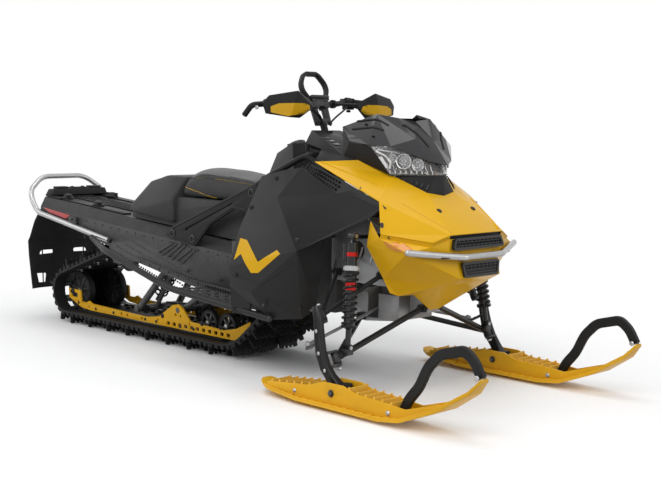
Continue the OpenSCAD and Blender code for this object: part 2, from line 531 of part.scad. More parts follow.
// ---------- front suspension ----------
king_y = ski_stance / 2 - 26;
king_low = [-52, -king_y, 165];
king_dir = [-sin(caster), 0, cos(caster)];
king_span = 162;                       // distance between the two ball joints
king_up = king_low + king_span * king_dir;
barrel_r = 15;
barrel_h = 40;
king_r = 8;
lower_in = [[8, -nose_w / 2 - 12, 312], [-236, -pan_w / 2 - 12, 260]];
upper_in = [[-50, -wing_y - wing_t - 12, 440], [-270, -wing_y - wing_t - 12, 432]];
module barrel(at, r, h) translate(at) rotate([0, -caster, 0]) translate([0, 0, -h / 2]) cylinder(h = h, r = r);
// A wishbone: a barrel at the ball joint, two tubes and a foot block on the end of each
module arm(at, feet, r) difference() {
    union() {
        barrel(at, barrel_r, barrel_h);
        for (i = [0, 1]) let (f = feet[i], d = unit(f - at), thin = i == 0 ? r : 0.92 * r)
            rod(at + (barrel_r - 2) * d, f, thin, 90);
        for (f = feet) translate([f[0] - 13, f[1] - 10, f[2] - 13]) cube([26, 22 - seat_gap, 26]);
    }
    barrel(at, king_r + pin_gap, barrel_h + 60);
}
module lower_arms() color([0.06, 0.06, 0.06]) both_sides() {
    arm(king_low, lower_in, 11);
    translate(shock_low + [-14, -14, -26]) cube([28, 28, 20]);
}
module upper_arms() color([0.06, 0.06, 0.06]) both_sides() arm(king_up, upper_in, 9);
shock_low = [-30, -396, 204];
shock_up = [-62, -345, 590];
module front_shocks() color([0.1, 0.1, 0.1]) both_sides() {
    d = shock_up - shock_low;
    l = norm(d);
    // rod, spring and body turned in one piece
    translate(shock_low) rotate([0, acos(d[2] / l), atan2(d[1], d[0])]) rotate([0, 0, 90]) rotate_extrude()
        polygon([[0, 0], [10, 0], [10, 80], [27, 80], [27, 262], [19, 262], [19, l - 20], [10, l - 20], [10, l - 3],
            [0, l - 3]]);
    translate(shock_low + [-12, -12, -6 + seat_gap]) cube([24, 24, 14]);
    // top mount, bridging to the wing
    translate([shock_up[0] - 14, shock_up[1] - 14, shock_up[2] - 12])
        cube([28, -shock_up[1] - wing_y - wing_t + 14 - seat_gap, 14]);
}

// ---------- steering ----------
arm_side = 25;                 // the steering arms' ball joints lie this far outboard of the spindle axis
across = [-cos(caster), 0, -sin(caster)];
rod_seat = king_low + 85 * king_dir + steer_arm * across + [0, -arm_side, 0];
pitman_axis = [-114, 0, 339];
pitman_seat = pitman_axis + steer_arm * across + [0, -arm_side, 0];
stud_r = 6;
eye_r = 13;
eye_h = 16;
module along_king(at) translate(at) rotate([0, -caster, 0]) children();
blade_y = 35;                  // the spindle blade lies this far outboard of its axis
blade_t = 22;
module spindle(left) color([0.05, 0.05, 0.05]) mirrored(left) {
    blade = king_low + [0, -blade_y, 0];
    ear = barrel_h / 2 + 1;
    along_king(king_low) {
        // kingpins through the two ball joints, held by ears on the blade
        for (s = [0, king_span]) translate([0, 0, s]) {
            translate([0, 0, -ear - 8]) cylinder(h = 2 * ear + 16, r = king_r);
            for (e = [-ear - 8, ear]) {
                translate([-12, -blade_y, e]) cube([24, blade_y, 8]);
                translate([0, 0, e]) cylinder(h = 8, r = 13);
            }
        }
        translate([-20, -blade_y - blade_t / 2, -60]) cube([40, blade_t, king_span + 60 + ear + 8]);
        // steering arm
        translate([-steer_arm, -arm_side - 14, 85 - eye_h / 2 - 9]) cube([steer_arm - 10, 20, 8]);
        translate([-steer_arm, -arm_side, 85 - eye_h / 2 - 9]) cylinder(h = 8, r = 14);
        translate([-steer_arm, -arm_side, 85 - eye_h / 2 - 9]) cylinder(h = eye_h + 12, r = stud_r);
    }
    // saddle between the ski's walls
    slab(-ski_stance / 2 - saddle_w / 2, -ski_stance / 2 + saddle_w / 2) union() {
        polygon([[-30, bolt_z + 4], [24, bolt_z + 6], [12, bolt_z + 60], [-52, bolt_z + 60]]);
        translate([0, bolt_z]) circle(30);
    }
    pin_y(0, bolt_z, -ski_stance / 2 - ski_in / 2 - wall_t - 6, -ski_stance / 2 + ski_in / 2 + wall_t + 6, bolt_r);
}
tie_r = 6;                     // tie rods, as thick as their end eyes are tall
module tie_rod(left) color([0.7, 0.7, 0.72]) mirrored(left) {
    d = unit(pitman_seat - rod_seat);
    difference() {
        union() {
            for (q = [rod_seat, pitman_seat]) barrel(q, eye_r, 2 * tie_r);
            rod(rod_seat + (eye_r - 1) * d, pitman_seat - (eye_r - 1) * d, tie_r);
        }
        for (q = [rod_seat, pitman_seat]) barrel(q, stud_r + pin_gap, 3 * eye_h);
    }
}
module pitman_arm() color([0.4, 0.4, 0.42]) {
    drop = eye_h / 2 + 15;
    along_king(pitman_axis) {
        translate([0, 0, -drop]) cylinder(h = 120, r = 12);
        translate([-steer_arm - 14, -arm_side - 14, -drop]) cube([steer_arm + 28, 2 * arm_side + 28, 8]);
        for (s = [-1, 1]) translate([-steer_arm, s * arm_side, -drop]) cylinder(h = eye_h + 18, r = stud_r);
    }
}
post_r = 14;
frame_r = 12;
frame_peak = [-506, -139, 857.2];
bearing_w = 60;
bearing_at = (frame_peak[2] - 985) / cos(post_rake) - 8;     // bearing of the steering post, along it
bar_at = 74;                   // the bar's centre above the post's collar
post_top = [-565, 0, 985];
module on_post() translate(post_top) rotate([0, -post_rake, 0]) children();
bar_r = 11;
grip_l = 125;
bar_half = bar_w / 2;
bar_path = [[0, 0, bar_at], [0, -100, bar_at], [10, -150, bar_at + 5], [36, -bar_half + 46, bar_at - 22],
    [24, -bar_half + 6, bar_at - 21], [-26, -bar_half + 4, bar_at - 42]];
clamp = [36, 84, 32];
module steering_post() color([0.1, 0.1, 0.1]) on_post() difference() {
    union() {
        translate([0, 0, -285]) cylinder(h = 285, r = post_r);
        for (s = [-1, 1]) translate([-12, s * 26 - 6, -8]) cube([24, 12, bar_at + 8]);
        translate([-16, -32, -14]) cube([32, 64, 20]);
        translate([0, 0, bar_at]) cube(clamp, center = true);
    }
    translate([0, -60, bar_at]) rotate([-90, 0, 0]) cylinder(h = 120, r = bar_r + pin_gap);
}
module handlebar() color([0.08, 0.08, 0.08]) on_post()
    bent_tube(concat([for (i = [len(bar_path) - 1 : -1 : 1]) bar_path[i]],
        other_side([for (i = [1 : len(bar_path) - 1]) bar_path[i]])), bar_r);
module grips() color([0.05, 0.05, 0.05]) on_post() both_sides() {
    a = bar_path[2];
    d = unit(bar_path[3] - a);
    l = norm(bar_path[3] - a);
    difference() {
        rod(a + (l - grip_l - 8) * d, a + (l - 8) * d, 16.5);
        rod(a + (l - grip_l - 20) * d, a + (l + 5) * d, bar_r + 0.2);
    }
}
module handguards() color([0.08, 0.08, 0.08]) on_post() both_sides() {
    hull() for (q = [[87, -128, 40], [87, -128, 24], [116, -217, 72], [84, -335, 64], [70, -362, 42], [62, -352, 8],
        [78, -250, -12], [62, -187, -8]]) translate(q) cube([6, 6, 6], center = true);
    // clamp on the bar and its stalk
    difference() {
        union() {
            translate([0, -92, bar_at]) rotate([-90, 0, 0]) cylinder(h = 14, r = bar_r + 6);
            rod([4, -85, bar_at], [88, -140, 36], 6);
        }
        translate([0, -110, bar_at]) rotate([-90, 0, 0]) cylinder(h = 60, r = bar_r + 0.2);
    }
}
module mountain_strap() color([0.05, 0.05, 0.05]) on_post() difference() {
    translate([-2, 0, bar_at + 14]) rotate([0, post_rake, 0]) rib(-15, 15) difference() {
        polygon([[-58, 4], [-80, strap_h * 0.42], [-42, strap_h], [42, strap_h], [80, strap_h * 0.42], [58, 4], [40, -2], [-40, -2]]);
        polygon([[-38, 16], [-58, strap_h * 0.44], [-31, strap_h - 18], [31, strap_h - 18], [58, strap_h * 0.44], [38, 16]]);
    }
    translate([0, 0, bar_at]) cube(clamp + [2, 2, 2] * seat_gap, center = true);
    translate([0, -150, bar_at]) rotate([-90, 0, 0]) cylinder(h = 300, r = bar_r + seat_gap);
}

// ---------- skis ----------
wall_t = 8;
ski_in = 84;                    // between the ski's two upright walls
saddle_w = ski_in - 2 * move_gap;
base = [[-381, 46], [-345, 30], [-290, 22], [-160, 14], [0, 11], [232, 11], [325, 22], [461, 76], [575, 148], [x_tip, 196]];
ski_half = ski_w / 2;
module ski(left) color([0.95, 0.68, 0.06]) mirrored(left) translate([0, -ski_stance / 2, 0]) {
    n = len(base);
    intersection() {
        slab(-ski_half, ski_half) polygon(concat(base, [for (i = [n - 1 : -1 : 0]) base[i] + [-4, 9]]));
        translate([0, 0, -10]) linear_extrude(300) polygon([for (s = [1, -1]) each (s > 0 ? plan : [for (i = [len(plan) - 1 : -1 : 0]) [plan[i][0], -plan[i][1]]])]);
    }
    difference() {
        both_sides() slab(-ski_in / 2 - wall_t, -ski_in / 2)
            polygon([[-322, 28], [-290, 25], [-160, 17], [0, 14], [232, 14], [325, 26], [430, 70], [500, 104], [466, 104], [330, 64],
                [240, 72], [110, 78], [52, bolt_z + 34], [-44, bolt_z + 34], [-110, 74], [-322, 54]]);
        pin_y(0, bolt_z, -ski_w, ski_w, bolt_r + pin_gap);
    }
    slab(-9, 9) polygon([[-250, 12], [-200, 0], [230, 0], [300, 20], [200, 14], [-250, 22]]);
}
plan = [[-381, -20], [-368, -36], [-320, -56], [-150, -ski_half], [300, -ski_half], [450, -62], [560, -42], [x_tip, -18]];
loop_out = [[298, 29], [372, 196], [462, 272], [538, 289], [592, 236], [608, 201]];
loop_in = [[590, 196], [574, 226], [530, 272], [472, 255], [390, 184], [320, 32]];
module ski_loop(left) color([0.06, 0.06, 0.06]) mirrored(left) translate([0, -ski_stance / 2, 0])
    slab(-18, 18) polygon(concat(loop_out, loop_in));

placed() tunnel();
placed() running_boards();
placed() rear_bumper();
placed() snow_flap();
placed() tail_lights();
placed() tunnel_braces();
placed() fuel_tank();
placed() seat();
placed() rear_trunk();
placed() side_panel(false);  // side_panel_right
placed() side_panel(true);  // side_panel_left
placed() hood();
placed() nose_fascia();
placed() front_bumper();
placed() grilles();
placed() headlight();
placed() windshield();
placed() console();
placed() gauge();
placed() bulkhead();
placed() panel_clips();
placed() frame_tubes();
placed() post_bearing();
placed() engine();
placed() upper_arms();
placed() lower_arms();
placed() front_shocks();
placed() track();
placed() slide_rails();
placed() rear_wheels();
placed() idler_wheels();
placed() skid_arms();
placed() drive_axle();
placed() steering_post();
placed() handlebar();
placed() grips();
placed() handguards();
placed() mountain_strap();
placed() pitman_arm();
placed() spindle(false);  // spindle_right
placed() spindle(true);  // spindle_left
placed() tie_rod(false);  // tie_rod_right
placed() tie_rod(true);  // tie_rod_left
placed() ski(false);  // ski_right
placed() ski(true);  // ski_left
placed() ski_loop(false);  // ski_loop_right
placed() ski_loop(true);  // ski_loop_left
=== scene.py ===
"""Looks of the mountain snowmobile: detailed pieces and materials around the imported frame.

Places are millimetres counted from the ski bolt, as in the part's source; at() turns them into
the row frame.
"""
import json
import math

import bmesh
import bpy
from mathutils import Matrix, Vector
from mathutils.bvhtree import BVHTree

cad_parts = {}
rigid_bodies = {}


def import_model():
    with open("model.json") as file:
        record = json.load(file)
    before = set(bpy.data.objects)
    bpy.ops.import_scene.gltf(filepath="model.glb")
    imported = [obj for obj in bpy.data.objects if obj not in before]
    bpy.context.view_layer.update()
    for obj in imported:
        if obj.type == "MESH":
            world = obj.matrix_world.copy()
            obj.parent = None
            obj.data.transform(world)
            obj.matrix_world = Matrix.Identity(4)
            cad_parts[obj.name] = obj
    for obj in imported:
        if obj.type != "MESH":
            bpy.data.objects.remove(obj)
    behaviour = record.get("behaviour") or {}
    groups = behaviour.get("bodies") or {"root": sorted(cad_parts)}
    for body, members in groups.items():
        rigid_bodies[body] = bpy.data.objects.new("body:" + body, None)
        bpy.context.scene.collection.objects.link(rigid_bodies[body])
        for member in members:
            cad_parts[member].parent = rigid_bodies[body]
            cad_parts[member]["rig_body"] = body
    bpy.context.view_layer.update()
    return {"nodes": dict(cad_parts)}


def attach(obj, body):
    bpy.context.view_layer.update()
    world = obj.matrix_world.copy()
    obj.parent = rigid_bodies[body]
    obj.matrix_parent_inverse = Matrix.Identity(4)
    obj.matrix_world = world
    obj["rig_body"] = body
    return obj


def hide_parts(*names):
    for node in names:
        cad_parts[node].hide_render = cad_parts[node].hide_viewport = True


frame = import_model()
X_MID = -894.5
MM = 0.001
HALF_TUNNEL = 200.5
STANCE = 912
BOLT_Z = 62
CH = "chassis"
SIDES = (-1, 1)
TUNNEL_FALL = math.radians(4.36)  # the tunnel's top rises towards the rear
KING_LEAN = math.radians(-27)  # kingpins
POST_AXIS = Vector((-0.3746, 0, 0.9272))  # steering post
POST_TURN = Matrix.Rotation(math.radians(-22), 3, "Y")
REAR_AXLE = (-2088, 151)
UPPER_IDLER = (-1640, 346)
DRIVE_AXLE = (-711, 306)
IDLERS_X = (-1395, -1125, -1005)
IDLER_R = 56
IDLER_Z = 61.3 + IDLER_R
RAIL_OUT = 144  # outer faces of the slide rails
SEAT_SLOPE_Z = 701  # height of the seat's diagonal seam at its rear end


def at(x, y, z):
    """A place in millimetres from the ski bolt, turned into the row frame."""
    return Vector(((x - X_MID) * MM, y * MM, z * MM))


def datum(p):
    """A point of the row frame, turned into millimetres from the ski bolt."""
    return Vector((p.x / MM + X_MID, p.y / MM, p.z / MM))


# ---------- materials ----------
def new_material(name):
    m = bpy.data.materials.new(name)
    m.use_nodes = True
    return m, m.node_tree.nodes, m.node_tree.links, m.node_tree.nodes["Principled BSDF"]


def noise(nodes, links, scale, detail=4.0, rough=0.5, stretch=(1, 1, 1)):
    """A noise over the object's own coordinates."""
    coords = nodes.new("ShaderNodeTexCoord")
    mapping = nodes.new("ShaderNodeMapping")
    mapping.inputs["Scale"].default_value = stretch
    n = nodes.new("ShaderNodeTexNoise")
    n.inputs["Scale"].default_value = scale
    n.inputs["Detail"].default_value = detail
    n.inputs["Roughness"].default_value = rough
    links.new(coords.outputs["Object"], mapping.inputs["Vector"])
    links.new(mapping.outputs["Vector"], n.inputs["Vector"])
    return n


def ramp(nodes, links, source, stops):
    r = nodes.new("ShaderNodeValToRGB")
    while len(r.color_ramp.elements) < len(stops):
        r.color_ramp.elements.new(0.5)
    for e, (pos, col) in zip(r.color_ramp.elements, stops):
        e.position = pos
        e.color = (*col, 1) if len(col) == 3 else col
    links.new(source, r.inputs["Fac"])
    return r


def grey(v):
    return (v, v, v)


def shade(c, k):
    return tuple(min(1.0, x * k) for x in c)


def surface(name, colour, rough, metal=0.0, vary=0.12, grain=900, bump=0.05, blotch=9, coat=0.0,
            wear=None, stretch=(1, 1, 1), rough_vary=0.12, shine=0.2):
    """A moulded, painted or metal surface: blotchy colour, fine grain, uneven gloss and worn edges."""
    m, nodes, links, bsdf = new_material(name)
    big = noise(nodes, links, blotch, 5, 0.6, stretch)
    tint = ramp(nodes, links, big.outputs["Fac"],
                [(0.3, shade(colour, 1 - vary)), (0.7, shade(colour, 1 + vary))])
    out = tint.outputs["Color"]
    if wear:
        geo = nodes.new("ShaderNodeNewGeometry")
        edge = ramp(nodes, links, geo.outputs["Pointiness"], [(0.52, grey(0)), (0.60, grey(1))])
        scratch = noise(nodes, links, 60, 6, 0.7)
        mask = nodes.new("ShaderNodeMath")
        mask.operation = "MULTIPLY"
        links.new(edge.outputs["Color"], mask.inputs[0])
        links.new(scratch.outputs["Fac"], mask.inputs[1])
        mix = nodes.new("ShaderNodeMix")
        mix.data_type = "RGBA"
        links.new(mask.outputs[0], mix.inputs["Factor"])
        links.new(out, mix.inputs["A"])
        mix.inputs["B"].default_value = (*wear, 1)
        out = mix.outputs["Result"]
    links.new(out, bsdf.inputs["Base Color"])
    gloss = ramp(nodes, links, noise(nodes, links, blotch * 3, 6, 0.65, stretch).outputs["Fac"],
                 [(0.3, grey(max(0.02, rough * (1 - rough_vary)))),
                  (0.7, grey(min(1, rough * (1 + rough_vary))))])
    links.new(gloss.outputs["Color"], bsdf.inputs["Roughness"])
    b = nodes.new("ShaderNodeBump")
    b.inputs["Strength"].default_value = bump
    b.inputs["Distance"].default_value = 0.001
    links.new(noise(nodes, links, grain, 3, 0.6, stretch).outputs["Fac"], b.inputs["Height"])
    links.new(b.outputs["Normal"], bsdf.inputs["Normal"])
    bsdf.inputs["Metallic"].default_value = metal
    bsdf.inputs["Specular IOR Level"].default_value = shine
    if coat:
        bsdf.inputs["Coat Weight"].default_value = coat
        bsdf.inputs["Coat Roughness"].default_value = 0.06
    return m


def glass(name, colour, rough, alpha, transmission):
    """A clear or tinted lens."""
    m, nodes, links, bsdf = new_material(name)
    tint = ramp(nodes, links, noise(nodes, links, 6).outputs["Fac"],
                [(0.3, shade(colour, 0.94)), (0.7, shade(colour, 1.04))])
    links.new(tint.outputs["Color"], bsdf.inputs["Base Color"])
    bsdf.inputs["Roughness"].default_value = rough
    bsdf.inputs["Alpha"].default_value = alpha
    bsdf.inputs["Transmission Weight"].default_value = transmission
    bsdf.inputs["Coat Weight"].default_value = 0.4
    bsdf.inputs["Coat Roughness"].default_value = 0.05
    return m


def seat_vinyl(name, colour, rough, scale=420):
    """Vinyl or rubber with a pebbled grain."""
    m, nodes, links, bsdf = new_material(name)
    coords = nodes.new("ShaderNodeTexCoord")
    v = nodes.new("ShaderNodeTexVoronoi")
    v.inputs["Scale"].default_value = scale
    links.new(coords.outputs["Object"], v.inputs["Vector"])
    tint = ramp(nodes, links, noise(nodes, links, 14, 5, 0.6).outputs["Fac"],
                [(0.3, shade(colour, 0.85)), (0.7, shade(colour, 1.2))])
    links.new(tint.outputs["Color"], bsdf.inputs["Base Color"])
    gloss = ramp(nodes, links, v.outputs["Distance"],
                 [(0.0, grey(rough * 0.85)), (0.8, grey(min(1, rough * 1.2)))])
    links.new(gloss.outputs["Color"], bsdf.inputs["Roughness"])
    b = nodes.new("ShaderNodeBump")
    b.inputs["Strength"].default_value = 0.22
    b.inputs["Distance"].default_value = 0.0008
    links.new(v.outputs["Distance"], b.inputs["Height"])
    links.new(b.outputs["Normal"], bsdf.inputs["Normal"])
    bsdf.inputs["Sheen Weight"].default_value = 0.05
    bsdf.inputs["Specular IOR Level"].default_value = 0.18
    return m


YELLOW = (0.74, 0.41, 0.008)
MAT = {
    "yellow": surface("yellow_plastic", YELLOW, 0.3, vary=0.03, grain=260, bump=0.02, blotch=5, coat=0.08,
                      shine=0.10),
    "ski": surface("ski_plastic", (0.72, 0.38, 0.009), 0.42, vary=0.06, grain=500, bump=0.06, blotch=7,
                   wear=(0.9, 0.6, 0.15), shine=0.22),
    "rail": surface("rail_paint", (0.68, 0.36, 0.009), 0.38, vary=0.07, grain=600, bump=0.05, blotch=8,
                    shine=0.15),
    "panel": surface("panel_plastic", grey(0.021), 0.36, vary=0.12, grain=1300, bump=0.10, blotch=4,
                     shine=0.13),
    "satin": surface("satin_plastic", grey(0.018), 0.4, vary=0.15, grain=1100, bump=0.14, blotch=7,
                     shine=0.13),
    "gloss_black": surface("gloss_black", grey(0.014), 0.14, vary=0.15, grain=300, bump=0.015, blotch=5,
                           coat=0.4),
    "tunnel": surface("tunnel_coat", grey(0.014), 0.42, metal=0.1, vary=0.15, grain=1500, bump=0.12,
                      blotch=6, wear=grey(0.12)),
    "metal_black": surface("black_metal", grey(0.016), 0.36, metal=0.2, vary=0.2, grain=1200, bump=0.10,
                           blotch=12, wear=grey(0.16)),
    "rubber": surface("rubber", grey(0.013), 0.62, vary=0.22, grain=700, bump=0.25, blotch=18,
                      rough_vary=0.1),
    "track": surface("track_rubber", grey(0.014), 0.58, vary=0.25, grain=500, bump=0.3, blotch=25),
    "strap": surface("strap_rubber", grey(0.012), 0.5, vary=0.2, grain=900, bump=0.2, blotch=20),
    "silver": surface("silver_tube", grey(0.42), 0.3, metal=0.85, vary=0.06, grain=400, bump=0.05,
                      blotch=30, stretch=(6, 1, 1)),
    "alu": surface("cast_aluminium", (0.26, 0.265, 0.27), 0.42, metal=0.6, vary=0.14, grain=450, bump=0.25,
                   blotch=10, wear=grey(0.4)),
    "steel": surface("bolt_steel", grey(0.45), 0.3, metal=0.95, vary=0.12, grain=700, bump=0.08, blotch=40),
    "chrome": surface("chrome", grey(0.5), 0.1, metal=1.0, vary=0.04, grain=80, bump=0.01, blotch=20),
    "spring": surface("spring_paint", grey(0.014), 0.26, metal=0.2, vary=0.15, grain=600, bump=0.05,
                      blotch=15),
    "red": surface("red_anodised", (0.5, 0.016, 0.012), 0.3, metal=0.5, vary=0.1, grain=400, bump=0.04,
                   blotch=20),
    "red_lens": glass("red_lens", (0.62, 0.02, 0.02), 0.12, 1.0, 0.15),
    "amber": surface("amber_reflector", (0.66, 0.24, 0.02), 0.2, vary=0.1, grain=160, bump=0.2, blotch=8,
                     coat=0.5),
    "lens": glass("clear_lens", (0.93, 0.95, 0.97), 0.02, 0.28, 0.6),
    "guide": surface("light_guide", grey(0.85), 0.2, vary=0.04, grain=200, bump=0.03, blotch=20, coat=0.4),
    "screen": surface("smoked_screen", (0.035, 0.035, 0.037), 0.16, vary=0.1, grain=200, bump=0.01,
                      blotch=3, coat=0.3),
    "seat": seat_vinyl("seat_vinyl", grey(0.028), 0.52),
    "seat_top": seat_vinyl("seat_top_vinyl", grey(0.13), 0.60, 300),
    "tank": seat_vinyl("tank_plastic", grey(0.026), 0.44, 700),
    "stitch": surface("yellow_stitch", (0.85, 0.5, 0.03), 0.6, vary=0.1, grain=900, bump=0.2, blotch=60),
    "graphite": surface("graphite_plastic", grey(0.10), 0.4, vary=0.12, grain=900, bump=0.1, blotch=8),
    "grip": surface("grip_rubber", grey(0.012), 0.7, vary=0.2, grain=900, bump=0.3, blotch=30),
    "engine": surface("engine_cast", grey(0.06), 0.55, metal=0.4, vary=0.2, grain=500, bump=0.3, blotch=9),
}


# ---------- building ----------
def link(name, mesh, mat, body, smooth=35):
    """A new object from a mesh whose points are already in the row frame."""
    o = bpy.data.objects.new(name, mesh)
    bpy.context.scene.collection.objects.link(o)
    for m in (mat if isinstance(mat, (list, tuple)) else [mat]):
        mesh.materials.append(MAT[m])
    if smooth is not None:
        smooth_by_angle(o, smooth)
    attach(o, body)
    return o


def smooth_by_angle(o, degrees):
    """Smooth shading with sharp edges where the faces meet at more than an angle."""
    bm = bmesh.new()
    bm.from_mesh(o.data)
    for f in bm.faces:
        f.smooth = True
    for e in bm.edges:
        if len(e.link_faces) == 2 and e.calc_face_angle(0) > math.radians(degrees):
            e.smooth = False
    bm.to_mesh(o.data)
    bm.free()


def from_bm(bm, name, mat, body, bevel=0, segments=2, smooth=35, limit=20, mirror=False):
    """Finishes a bmesh built in datum millimetres: bevels, mirrors and places it."""
    if bevel:
        bmesh.ops.remove_doubles(bm, verts=bm.verts, dist=0.01)
        bmesh.ops.dissolve_limit(bm, angle_limit=math.radians(1.5), verts=bm.verts, edges=bm.edges)
        least = math.radians(limit)
        sharp = [e for e in bm.edges if len(e.link_faces) == 2 and e.calc_face_angle(0) > least]
        bmesh.ops.bevel(bm, geom=sharp, offset=bevel, segments=segments, profile=0.5, affect="EDGES",
                        clamp_overlap=True)
    if mirror:
        geom = bmesh.ops.duplicate(bm, geom=bm.verts[:] + bm.edges[:] + bm.faces[:])["geom"]
        verts = [g for g in geom if isinstance(g, bmesh.types.BMVert)]
        faces = [g for g in geom if isinstance(g, bmesh.types.BMFace)]
        for v in verts:
            v.co.y = -v.co.y
        bmesh.ops.reverse_faces(bm, faces=faces)
    for v in bm.verts:
        v.co = at(*v.co)
    mesh = bpy.data.meshes.new(name)
    bm.to_mesh(mesh)
    bm.free()
    return link(name, mesh, mat, body, smooth)


TREES = {}


def tree_of(o):
    """A search tree of a mesh in the row frame, kept for the next question."""
    if o.name not in TREES:
        mesh = o.data
        TREES[o.name] = BVHTree.FromPolygons([v.co.copy() for v in mesh.vertices],
                                             [p.vertices[:] for p in mesh.polygons])
    return TREES[o.name]


def cast(o, start, direction):
    """Where a ray first meets a mesh, in the row frame, or None."""
    return tree_of(o).ray_cast(start, direction)[0]


def refined(node, name, mat, bevel, segments=3, limit=12, smooth=40):
    """A CAD node's own shape with rounded edges, which stands for it."""
    src = frame["nodes"][node]
    bm = bmesh.new()
    bm.from_mesh(src.data)
    for v in bm.verts:
        v.co = datum(v.co)
    o = from_bm(bm, name, mat, src["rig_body"], bevel, segments, smooth, limit)
    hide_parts(node)
    return o


def add_box(bm, centre, size, turn=None):
    m = Matrix.Translation(centre) @ (turn.to_4x4() if turn else Matrix()) @ Matrix.Diagonal((*size, 1))
    bmesh.ops.create_cube(bm, size=1, matrix=m)


def frame_along(a, b):
    d = (Vector(b) - Vector(a)).normalized()
    return d.to_track_quat("Z", "Y").to_matrix()


def add_rod(bm, a, b, r, r2=None, segments=20):
    a, b = Vector(a), Vector(b)
    m = Matrix.Translation((a + b) / 2) @ frame_along(a, b).to_4x4()
    bmesh.ops.create_cone(bm, cap_ends=True, segments=segments, radius1=r, radius2=r if r2 is None else r2,
                          depth=(b - a).length, matrix=m)


def add_ball(bm, c, r, segments=16):
    bmesh.ops.create_uvsphere(bm, u_segments=segments, v_segments=segments // 2, radius=r,
                              matrix=Matrix.Translation(c))


def arc(p, b, q, steps):
    """Points of a soft corner from p to q, bent towards b."""
    ts = [k / steps for k in range(steps + 1)]
    return [p * (1 - t) ** 2 + b * 2 * t * (1 - t) + q * t ** 2 for t in ts]


def rounded_path(pts, radius, steps=6):
    """The corners of a path turned into arcs."""
    pts = [Vector(p) for p in pts]
    out = [pts[0]]
    for a, b, c in zip(pts, pts[1:], pts[2:]):
        u, v = (a - b), (c - b)
        cut = min(radius, 0.45 * u.length, 0.45 * v.length)
        out += arc(b + u.normalized() * cut, b, b + v.normalized() * cut, steps)
    out.append(pts[-1])
    return out


def skin(bm, rings, closed=False):
    """Four-sided faces between each ring of points and the next."""
    m = len(rings[0])
    for a, b in zip(rings, rings[1:] + rings[:1] if closed else rings[1:]):
        for k in range(m):
            bm.faces.new((a[k], a[(k + 1) % m], b[(k + 1) % m], b[k]))


def add_sweep(bm, path, outline, closed=False, up=(0, 0, 1)):
    """Sweeps an outline (x across, y up) along a path."""
    path = [Vector(p) for p in path]
    n = len(path)
    rings = []
    up = Vector(up)
    for i, p in enumerate(path):
        a = path[(i - 1) % n] if closed or i else path[0]
        b = path[(i + 1) % n] if closed or i < n - 1 else path[-1]
        d = (b - a).normalized()
        side = d.cross(up)
        side = side.normalized() if side.length > 1e-4 else Vector((0, 1, 0))
        top = side.cross(d).normalized()
        rings.append([bm.verts.new(p + side * x + top * y) for x, y in outline])
    skin(bm, rings, closed)
    if not closed:
        bm.faces.new(list(reversed(rings[0])))
        bm.faces.new(rings[-1])


def along(table, x):
    """The value at x in a table of (x, value) rows, read in straight lines between them."""
    for (x0, v0), (x1, v1) in zip(table, table[1:]):
        if x <= x1:
            return v0 + (v1 - v0) * (x - x0) / (x1 - x0)
    return table[-1][1]


def circle(r, segments=16, x=0, z=0):
    turns = [2 * math.pi * i / segments for i in range(segments)]
    return [(x + r * math.cos(a), z + r * math.sin(a)) for a in turns]


def add_lathe(bm, centre, axis, profile, segments=40):
    """Turns a profile of (radius, distance along the axis) points round the axis."""
    rot = Vector(axis).normalized().to_track_quat("Z", "Y").to_matrix()
    c = Vector(centre)
    rings = []
    for r, h in profile:
        if r < 1e-6:
            rings.append([bm.verts.new(c + rot @ Vector((0, 0, h)))])
        else:
            rings.append([bm.verts.new(c + rot @ Vector((r * math.cos(2 * math.pi * k / segments),
                                                         r * math.sin(2 * math.pi * k / segments), h)))
                          for k in range(segments)])
    for a, b in zip(rings, rings[1:]):
        for k in range(segments):
            quad = [a[k % len(a)], a[(k + 1) % len(a)], b[(k + 1) % len(b)], b[k % len(b)]]
            seen = list(dict.fromkeys(quad))
            if len(seen) > 2:
                bm.faces.new(seen)


def add_plate(bm, outline, holes, y0, y1):
    """A plate with holes: outlines are (x, z) points, made solid between two Y positions."""
    curve = bpy.data.curves.new("outline", "CURVE")
    curve.dimensions = "2D"
    curve.fill_mode = "BOTH"
    curve.extrude = abs(y1 - y0) / 2
    for loop in [outline, *holes]:
        s = curve.splines.new("POLY")
        s.points.add(len(loop) - 1)
        for p, q in zip(s.points, loop):
            p.co = (q[0], q[1], 0, 1)
        s.use_cyclic_u = True
    o = bpy.data.objects.new("outline", curve)
    mesh = o.to_mesh()
    tmp = bmesh.new()
    tmp.from_mesh(mesh)
    o.to_mesh_clear()
    bmesh.ops.remove_doubles(tmp, verts=tmp.verts, dist=0.01)
    mid = (y0 + y1) / 2
    for v in tmp.verts:
        v.co = (v.co.x, mid - v.co.z, v.co.y)
    bmesh.ops.recalc_face_normals(tmp, faces=tmp.faces)
    keep = bpy.data.meshes.new("keep")
    tmp.to_mesh(keep)
    tmp.free()
    bm.from_mesh(keep)
    bpy.data.meshes.remove(keep)
    bpy.data.objects.remove(o)
    bpy.data.curves.remove(curve)


def add_spring(bm, low, high, start, length, r, wire, count, steps):
    """A wire wound round the line from low to high, in count pieces with steps pieces to a turn."""
    d = (high - low).normalized()
    m = frame_along(low, high)
    ring = circle(r, steps)
    helix = [
        low + d * (start + length * i / count) + m @ Vector((*ring[i % steps], 0))
        for i in range(count + 1)
    ]
    add_sweep(bm, helix, circle(wire, 8), up=d)


